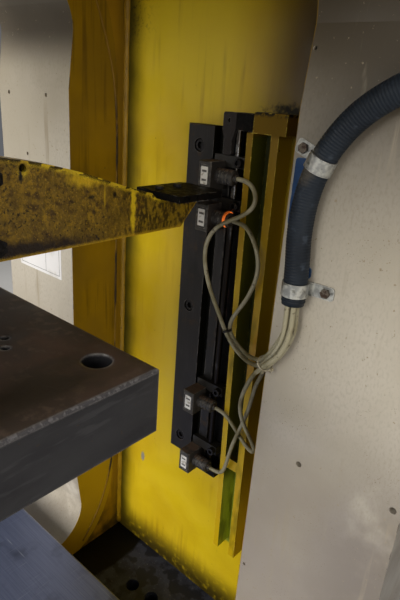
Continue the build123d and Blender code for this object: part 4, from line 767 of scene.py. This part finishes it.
for number in range(1, 5):
    face = Vector(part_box(f"switch_{number}")[0]) + Vector(FACE_MIDDLE)
    mesh = slab(face - Vector((0, LABEL[1] / 2, 0)), LABEL, LABEL_CORNER, segments=3)
    piece(f"switch_label_{number}", mesh, label_paper, smooth=False)
    mesh = bmesh.new()
    for rise in (-BAR_RISE, BAR_RISE):
        add_box(mesh, face + Vector((0, -LABEL[1] - INK / 2, rise)), (LABEL_BAR[0], INK, LABEL_BAR[1]))
    piece(f"label_print_{number}", mesh, label_ink, smooth=False)

# The second switch is on: an amber light ring glows round its plug.
RING_AT = (0.0652, 0.213, 1.514)
RING = (0.0110, 0.0120, 0.0044)      # inner and outer radius, width
RING_ROUND = 0.0006

amber, tree, shader = material("amber_light_ring", ior=1.58)
lit = facing(tree, "Z", 0.9, -0.6)
dress(shader, base_color=coat(tree, "e8772c", (patches(tree, 3, 0.4, 0.7), "b5521c")), roughness=0.35,
      emission_color=linear("ff7a2a"), emission_strength=coat(tree, 0.15, (lit, 0.9)))
mesh = bmesh.new()
profile = [mesh.verts.new((x, 0, radius)) for x, radius in (
    (-RING[2] / 2, RING[0]), (-RING[2] / 2, RING[1] - RING_ROUND), (-RING[2] / 4, RING[1]),
    (RING[2] / 4, RING[1]), (RING[2] / 2, RING[1] - RING_ROUND), (RING[2] / 2, RING[0]))]
loop = [mesh.edges.new((one, other)) for one, other in zip(profile, profile[1:] + profile[:1])]
bmesh.ops.spin(mesh, geom=profile + loop, axis=(1, 0, 0), cent=(0, 0, 0), angle=2 * math.pi, steps=32,
               use_merge=True)
bmesh.ops.translate(mesh, vec=RING_AT, verts=mesh.verts)
bmesh.ops.recalc_face_normals(mesh, faces=mesh.faces)
piece("switch_light_ring", mesh, amber)


# Switch channel
# Two flat bars that lean together, welded under a block, and brushed with the wall's yellow.
# Their inner sides are painted greenish and dark as painted shade, the bars are painted darker towards the
# top as shade, their edges are knocked bright and their ends are dirty.
channel_paint, tree, shader = material("brushed_yellow_enamel", ior=1.5)
block = along(tree, "Z", 1.628, 1.636)
shade = along(tree, "Z", 1.28, 1.60)
outer_side = both(tree, facing(tree, "X", 0.5, 0.8), along(tree, "X", 0.110, 0.114))
# Painted shade: the left bar's inner side takes a greenish shade colour low down, and a dark one from just
# below the bridge up.
inner_shade_low = both(tree, facing(tree, "X", 0.5, 0.8), along(tree, "X", 0.1085, 0.1065),
                      along(tree, "Z", 1.636, 1.628))
inner_shade_high = both(tree, inner_shade_low, along(tree, "Z", 1.04, 1.14))
bridge_dirt = both(tree, facing(tree, "Z", 0.6, 0.9), along(tree, "Z", 1.2, 1.1))
shade_green = coat(tree, "b4c83c", (patches(tree, 14, 0.4, 0.65, stretch=(1, 1, 3)), "7d8c26"),
             (along(tree, "Z", 1.05, 1.09), "3c4410"))
clots = both(tree, along(tree, "Z", 1.655, 1.661), patches(tree, 6, 0.44, 0.54, detail=6.0))
foot_grime = patches(tree, 30, 0.52, 0.68, stretch=(1, 1, 3))
knocked = both(tree, edges(tree, 1.6), patches(tree, 9, 0.5, 0.6))
dress(
    shader,
    base_color=coat(tree, "ccaa12", (patches(tree, 40, 0.4, 0.7, stretch=(1, 1, 3)), "c29212"),
                    (foot_grime, "97810f"), (shade, "8c6e08"), (outer_side, "b5980e"),
                    (inner_shade_low, shade_green), (inner_shade_high, "585a14"), (block, "775c00"),
                    (specks(tree, 14, 2.4, 0.18), "3a2c0c"), (knocked, "e6cf50"), (clots, "16130c"),
                    (bridge_dirt, "2b220a")),
    roughness=coat(tree, 0.36, (foot_grime, 0.48), (block, 0.7)),
    specular_ior_level=0.3,
    normal=bump(tree, (noise(tree, 2.0, stretch=(1, 1, 5)), 0.08), (noise(tree, 30), 0.4)),
)
wear(["guide_channel"], channel_paint)


# Conduit clamps
# Zinc-plated steel saddles, cloudy with white rust, held by galled brown screws, over a bare
# blue enamelled plate and a tab of it, whose corners show beside the conduit.
zinc, tree, shader = material("dull_zinc_plate", metallic=0.75)
cloud = patches(tree, 6, 0.42, 0.62, detail=6.0)
rubbed = edges(tree, 0.8)
dress(
    shader,
    base_color=coat(tree, "a3a6a6", (cloud, "c6c8c4"), (patches(tree, 9, 0.55, 0.68, shift=6.0), "777871"),
                    (rubbed, "dcdcd8")),
    roughness=coat(tree, 0.38, (cloud, 0.6)),
    normal=bump(tree, (cloud, 0.06)),
)
wear(["conduit_clamp_lower", "conduit_clamp_upper"], zinc)

galled, tree, shader = material("galled_zinc_screws", metallic=0.6)
dress(
    shader,
    base_color=coat(tree, "6e665c", (patches(tree, 4, 0.42, 0.6), "43332a"),
                    (patches(tree, 2, 0.6, 0.7), "8d877c")),
    roughness=coat(tree, 0.45, (patches(tree, 4, 0.4, 0.6), 0.65)),
)
wear(["conduit_screws"], galled)

BLUE_SHEET = 0.0012      # thickness
BLUE_PLATES = {          # left, bottom, right and top
    "blue_plate": (0.2075, 1.546, 0.2375, 1.622),
    "blue_tab": (0.2340, 1.490, 0.2468, 1.504),
}
PLATE_CORNER = 0.004

blue, tree, shader = material("blue_enamelled_plate", ior=1.5)
worn = both(tree, edges(tree, 1.2), patches(tree, 7, 0.42, 0.6))
dress(
    shader,
    base_color=coat(tree, "17406f", (patches(tree, 18, 0.45, 0.65), "123258"), (worn, "7f95a8")),
    roughness=coat(tree, 0.32, (patches(tree, 12, 0.5, 0.65), 0.5)),
    normal=bump(tree, (noise(tree, 3.0), 0.05)),
)
for name, (left, bottom, right, top) in BLUE_PLATES.items():
    middle = ((left + right) / 2, THROAT_FACE - BLUE_SHEET / 2, (bottom + top) / 2)
    mesh = slab(middle, (right - left, BLUE_SHEET, top - bottom), PLATE_CORNER, segments=5)
    piece(name, mesh, blue, smooth=False)


# Notice sheet
# A bare laminated sheet stuck on the left throat face: white, with a thin printed frame and one
# dividing line, and nothing written in it.
SHEET = (0.132, 0.0005, 0.096)       # width, thickness, height
SHEET_MIDDLE = (-0.302, 1.400)       # X and Z
SHEET_CORNER = 0.002
FRAME_INSET = 0.006
LINE = 0.0007            # width
DIVIDER = -0.283         # X of the dividing line

laminate, tree, shader = material("laminated_paper", ior=1.47)
dress(
    shader,
    base_color=coat(tree, "e4e4e6", (patches(tree, 30, 0.5, 0.7), "d2d0cc"),
                    (specks(tree, 9, 1.2, 0.1), "8c877c")),
    roughness=coat(tree, 0.28, (patches(tree, 30, 0.45, 0.65), 0.42)),
)
middle = (SHEET_MIDDLE[0], THROAT_FACE - SHEET[1] / 2, SHEET_MIDDLE[1])
piece("notice_sheet", slab(middle, SHEET, SHEET_CORNER, segments=5), laminate, smooth=False)
print_ink, tree, shader = material("dark_sheet_print", ior=1.47)
dress(shader, base_color=coat(tree, "3f4246", (patches(tree, 3, 0.5, 0.7), "5a5d61")),
      roughness=coat(tree, 0.35, (patches(tree, 8, 0.5, 0.6), 0.45)))
wide = SHEET[0] - 2 * FRAME_INSET
high = SHEET[2] - 2 * FRAME_INSET
front = THROAT_FACE - SHEET[1] - INK / 2
mesh = bmesh.new()
for level in (SHEET_MIDDLE[1] + high / 2, SHEET_MIDDLE[1] - high / 2):
    add_box(mesh, (SHEET_MIDDLE[0], front, level), (wide, INK, LINE))
for across in (SHEET_MIDDLE[0] - wide / 2, SHEET_MIDDLE[0] + wide / 2, DIVIDER):
    add_box(mesh, (across, front, SHEET_MIDDLE[1]), (LINE, INK, high))
piece("sheet_print", mesh, print_ink, smooth=False)


# Weld beads
# Fillet welds run by hand in the recess's corners and along the heavy bars' back edge, painted
# over with the yellow and grimy in patches.
CORNER_WELD = 0.0065     # radius
BAR_WELD = 0.0022
BAR_BACK = 0.2354        # Y of the heavy bars' back edge

weld_paint, tree, shader = material("painted_weld", ior=1.5)
ripple = noise(tree, 3.0, stretch=(4, 4, 1), detail=1.0)
dress(
    shader,
    base_color=coat(tree, "b08a12", (patches(tree, 14, 0.4, 0.65, stretch=(1, 1, 3)), "947410"),
                    (patches(tree, 7, 0.62, 0.76), "6b5512")),
    roughness=coat(tree, 0.34, (patches(tree, 20, 0.4, 0.6), 0.5)),
    normal=bump(tree, (ripple, 0.6)),
)

# The small weld behind the bars is black, below its top, with the grease that lies against it.
grimy_weld, tree, shader = material("grimy_weld", ior=1.5)
dress(
    shader,
    base_color=coat(tree, "8a6a04", (both(tree, patches(tree, 16, 0.40, 0.58, stretch=(1, 1, 3)),
                                          along(tree, "Z", 1.70, 1.62)), "2e210a")),
    roughness=coat(tree, 0.5, (patches(tree, 20, 0.4, 0.6), 0.65)),
    normal=bump(tree, (noise(tree, 3.0), 0.4)),
)


def weld(name, points, radius, finish):
    """A bead of this radius along a line, waisted a little from ripple to ripple."""
    line = smooth_line(points, 2.2 * radius)
    ways = headings(line)
    stations = []
    for number, (place, way) in enumerate(zip(line, ways)):
        swell = 1.0 + 0.08 * math.sin(2.4 * number) + 0.06 * math.sin(0.7 * number)
        stations.append((place, way, radius * swell))
    piece(name, tube(stations, sides=10), finish)


for side, inner in (("left", -RECESS), ("right", RECESS)):
    corner_line = [(inner, WALL, height) for height in (0.74, 1.0, 1.5, 1.94)]
    bar_line = [
        (inner, 0.150, 0.752), (inner, 0.184, 0.794), (inner, 0.215, 0.862), (inner, BAR_BACK, 0.957),
        (inner, BAR_BACK, 1.10), (inner, BAR_BACK, 1.50), (inner, BAR_BACK, 1.653),
        (inner, 0.215, 1.748), (inner, 0.184, 1.816)]
    weld(f"{side}_corner_weld", corner_line, CORNER_WELD, weld_paint)
    weld(f"{side}_bar_weld", bar_line, BAR_WELD, grimy_weld)


# Cable ties
# Two nylon ties bundle the cables, each with a square lock: a black one where the upper pair
# meets, and a pale one where all four turn up to the conduit.
TIE = (0.0036, 0.0011)   # width and thickness
LOCK = (0.0045, 0.0052, 0.0056)
LOCK_OUT = 0.0012        # its middle is this far outside the bundle
LOCK_ROUND = 0.0007


def tie(name, centre, heading, half_sizes, finish):
    """A band with its lock round an oval bundle that runs along a heading."""
    mesh = bmesh.new()
    turn = Vector((0, 0, 1)).rotation_difference(Vector(heading).normalized()).to_matrix().to_4x4()
    place = Matrix.Translation(centre) @ turn
    bmesh.ops.create_circle(mesh, segments=28, radius=1.0,
                            matrix=Matrix.Diagonal((half_sizes[0], half_sizes[1], 1.0, 1.0)))
    grown = bmesh.ops.extrude_edge_only(mesh, edges=list(mesh.edges))["geom"]
    ring = [part for part in grown if isinstance(part, bmesh.types.BMVert)]
    bmesh.ops.translate(mesh, vec=(0, 0, TIE[0]), verts=ring)
    bmesh.ops.recalc_face_normals(mesh, faces=mesh.faces)
    bmesh.ops.solidify(mesh, geom=list(mesh.faces), thickness=TIE[1])
    corners = add_box(mesh, (half_sizes[0] + LOCK_OUT, 0, TIE[0] / 2), LOCK)
    sides = list({edge for corner in corners for edge in corner.link_edges})
    round_off(mesh, sides, LOCK_ROUND, segments=2)
    bmesh.ops.transform(mesh, matrix=place, verts=mesh.verts)
    bmesh.ops.recalc_face_normals(mesh, faces=mesh.faces)
    piece(name, mesh, finish)


black_nylon, tree, shader = material("black_nylon_tie", ior=1.53)
dress(shader, base_color=coat(tree, "1d1b19", (patches(tree, 5, 0.45, 0.6), "2e2a24")),
      roughness=coat(tree, 0.42, (patches(tree, 5, 0.45, 0.6), 0.55)))
pale_nylon, tree, shader = material("natural_nylon_tie", ior=1.53)
dress(shader, base_color=coat(tree, "b4ad97", (patches(tree, 6, 0.45, 0.6), "857c64")),
      roughness=coat(tree, 0.38, (patches(tree, 5, 0.45, 0.6), 0.5)))
tie("upper_cable_tie", (0.0885, 0.2052, 1.3500), (0.35, -0.05, -0.80), (0.0056, 0.0083), black_nylon)
tie("bundle_cable_tie", (0.2077, 0.1265, 1.3692), (0.60, -0.45, 0.66), (0.0104, 0.0104), pale_nylon)


# Cylinder and guides
# The machined cylinder, its cap and gland are grey enamel over turned steel, dusty on top. The
# pipes, the tank and the junction box are the same grey, and the bushes are turned bronze.
grey_enamel, tree, shader = material("grey_alkyd_enamel", ior=1.5)
dust = both(tree, facing(tree, "Z", 0.3, 0.9), patches(tree, 40, 0.3, 0.6))
oil_run = both(tree, patches(tree, 20, 0.52, 0.68, stretch=(1, 1, 8)), patches(tree, 120, 0.45, 0.6))
worn = both(tree, edges(tree, 1.8), patches(tree, 12, 0.5, 0.62))
dress(
    shader,
    base_color=coat(tree, "6d7174", (patches(tree, 80, 0.4, 0.7), "62666a"), (oil_run, "45443f"),
                    (dust, "8f897b"), (worn, "b0b2b3")),
    roughness=coat(tree, 0.38, (oil_run, 0.22), (dust, 0.75), (worn, 0.3)),
    normal=bump(tree, (noise(tree, 2.6, detail=1.0), 0.05)),
)
wear(["cylinder_barrel", "cylinder_cap", "cylinder_gland", "tank_pipes", "cylinder_pipes",
      "junction_box", "oil_tank", "tank_lid"], grey_enamel)

bronze, tree, shader = material("turned_bronze", metallic=1.0)
turning = noise(tree, 1.2, stretch=(40, 40, 1), detail=1.0)
dress(
    shader,
    base_color=coat(tree, "a9793a", (patches(tree, 14, 0.42, 0.65), "7e5a2c")),
    roughness=coat(tree, 0.3, (patches(tree, 14, 0.42, 0.65), 0.45)),
    normal=bump(tree, (turning, 0.02)),
)
wear(["guide_bushes"], bronze)


# Hydraulic unit
# Iron castings of the motor, bell housing and pump under blue-grey enamel, rough from the sand
# and dusty on top, and a milled aluminium valve block that has dulled in patches.
casting, tree, shader = material("enamelled_sand_casting", ior=1.5)
grain = noise(tree, 2.2, detail=6.0)
dust = both(tree, facing(tree, "Z", 0.2, 0.9), patches(tree, 30, 0.3, 0.6))
dress(
    shader,
    base_color=coat(tree, "475058", (patches(tree, 50, 0.4, 0.7), "3c454c"), (dust, "857f70"),
                    (both(tree, edges(tree, 1.6), patches(tree, 8, 0.5, 0.62)), "8d8f90")),
    roughness=coat(tree, 0.5, (dust, 0.8)),
    normal=bump(tree, (grain, 0.12)),
)
wear(["bell_housing", "gear_pump", "electric_motor"], casting)

aluminium, tree, shader = material("milled_aluminium", metallic=1.0)
milling = noise(tree, 1.4, stretch=(40, 1, 1), detail=2.0)
dress(
    shader,
    base_color=coat(tree, "b4b5b5", (patches(tree, 30, 0.45, 0.7), "918f8a")),
    roughness=coat(tree, 0.36, (patches(tree, 30, 0.45, 0.7), 0.5)),
    normal=bump(tree, (milling, 0.02)),
)
wear(["valve_block"], aluminium)


# Floor and lights
# A plain pale floor, a soft key light in front, a weaker fill from the right and a third light
# behind, for the press's back.
FLOOR_HALF = 9.0

floor_paint, tree, shader = material("pale_floor", ior=1.45)
dress(shader, base_color=coat(tree, "cfcdc8", (patches(tree, 400, 0.4, 0.7), "cac8c3")), roughness=0.7)
mesh = bmesh.new()
bmesh.ops.create_grid(mesh, x_segments=1, y_segments=1, size=FLOOR_HALF)
data = bpy.data.meshes.new("floor")
mesh.to_mesh(data)
mesh.free()
data.materials.append(floor_paint)
floor = bpy.data.objects.new("floor", data)
bpy.context.scene.collection.objects.link(floor)


def softbox(name, place, aim, wide, high, power, colour):
    """A rectangular area light that shines from a place to an aim."""
    lamp = bpy.data.lights.new(name, "AREA")
    lamp.shape = "RECTANGLE"
    lamp.size = wide
    lamp.size_y = high
    lamp.energy = power
    lamp.color = linear(colour)[:3]
    light = bpy.data.objects.new(name, lamp)
    away = Vector(place) - Vector(aim)
    light.matrix_world = Matrix.Translation(place) @ away.to_track_quat("Z", "Y").to_matrix().to_4x4()
    bpy.context.scene.collection.objects.link(light)


softbox("key", (-0.6, -3.5, 2.95), (0.0, 0.1, 1.1), 3.0, 2.5, 205.0, "fffaf2")
softbox("fill", (3.2, -1.6, 1.9), (0.2, 0.0, 1.3), 2.0, 2.0, 36.0, "fff4e4")
softbox("rear", (-1.5, 3.8, 3.0), (0.0, 0.2, 1.3), 2.6, 2.6, 150.0, "ffffff")

world = bpy.data.worlds.new("studio")
world.use_nodes = True
world.node_tree.nodes["Background"].inputs["Color"].default_value = linear("c9ccd2")
world.node_tree.nodes["Background"].inputs["Strength"].default_value = 0.2
bpy.context.scene.world = world
bpy.context.scene.view_settings.view_transform = "Standard"
bpy.context.scene.view_settings.look = "None"
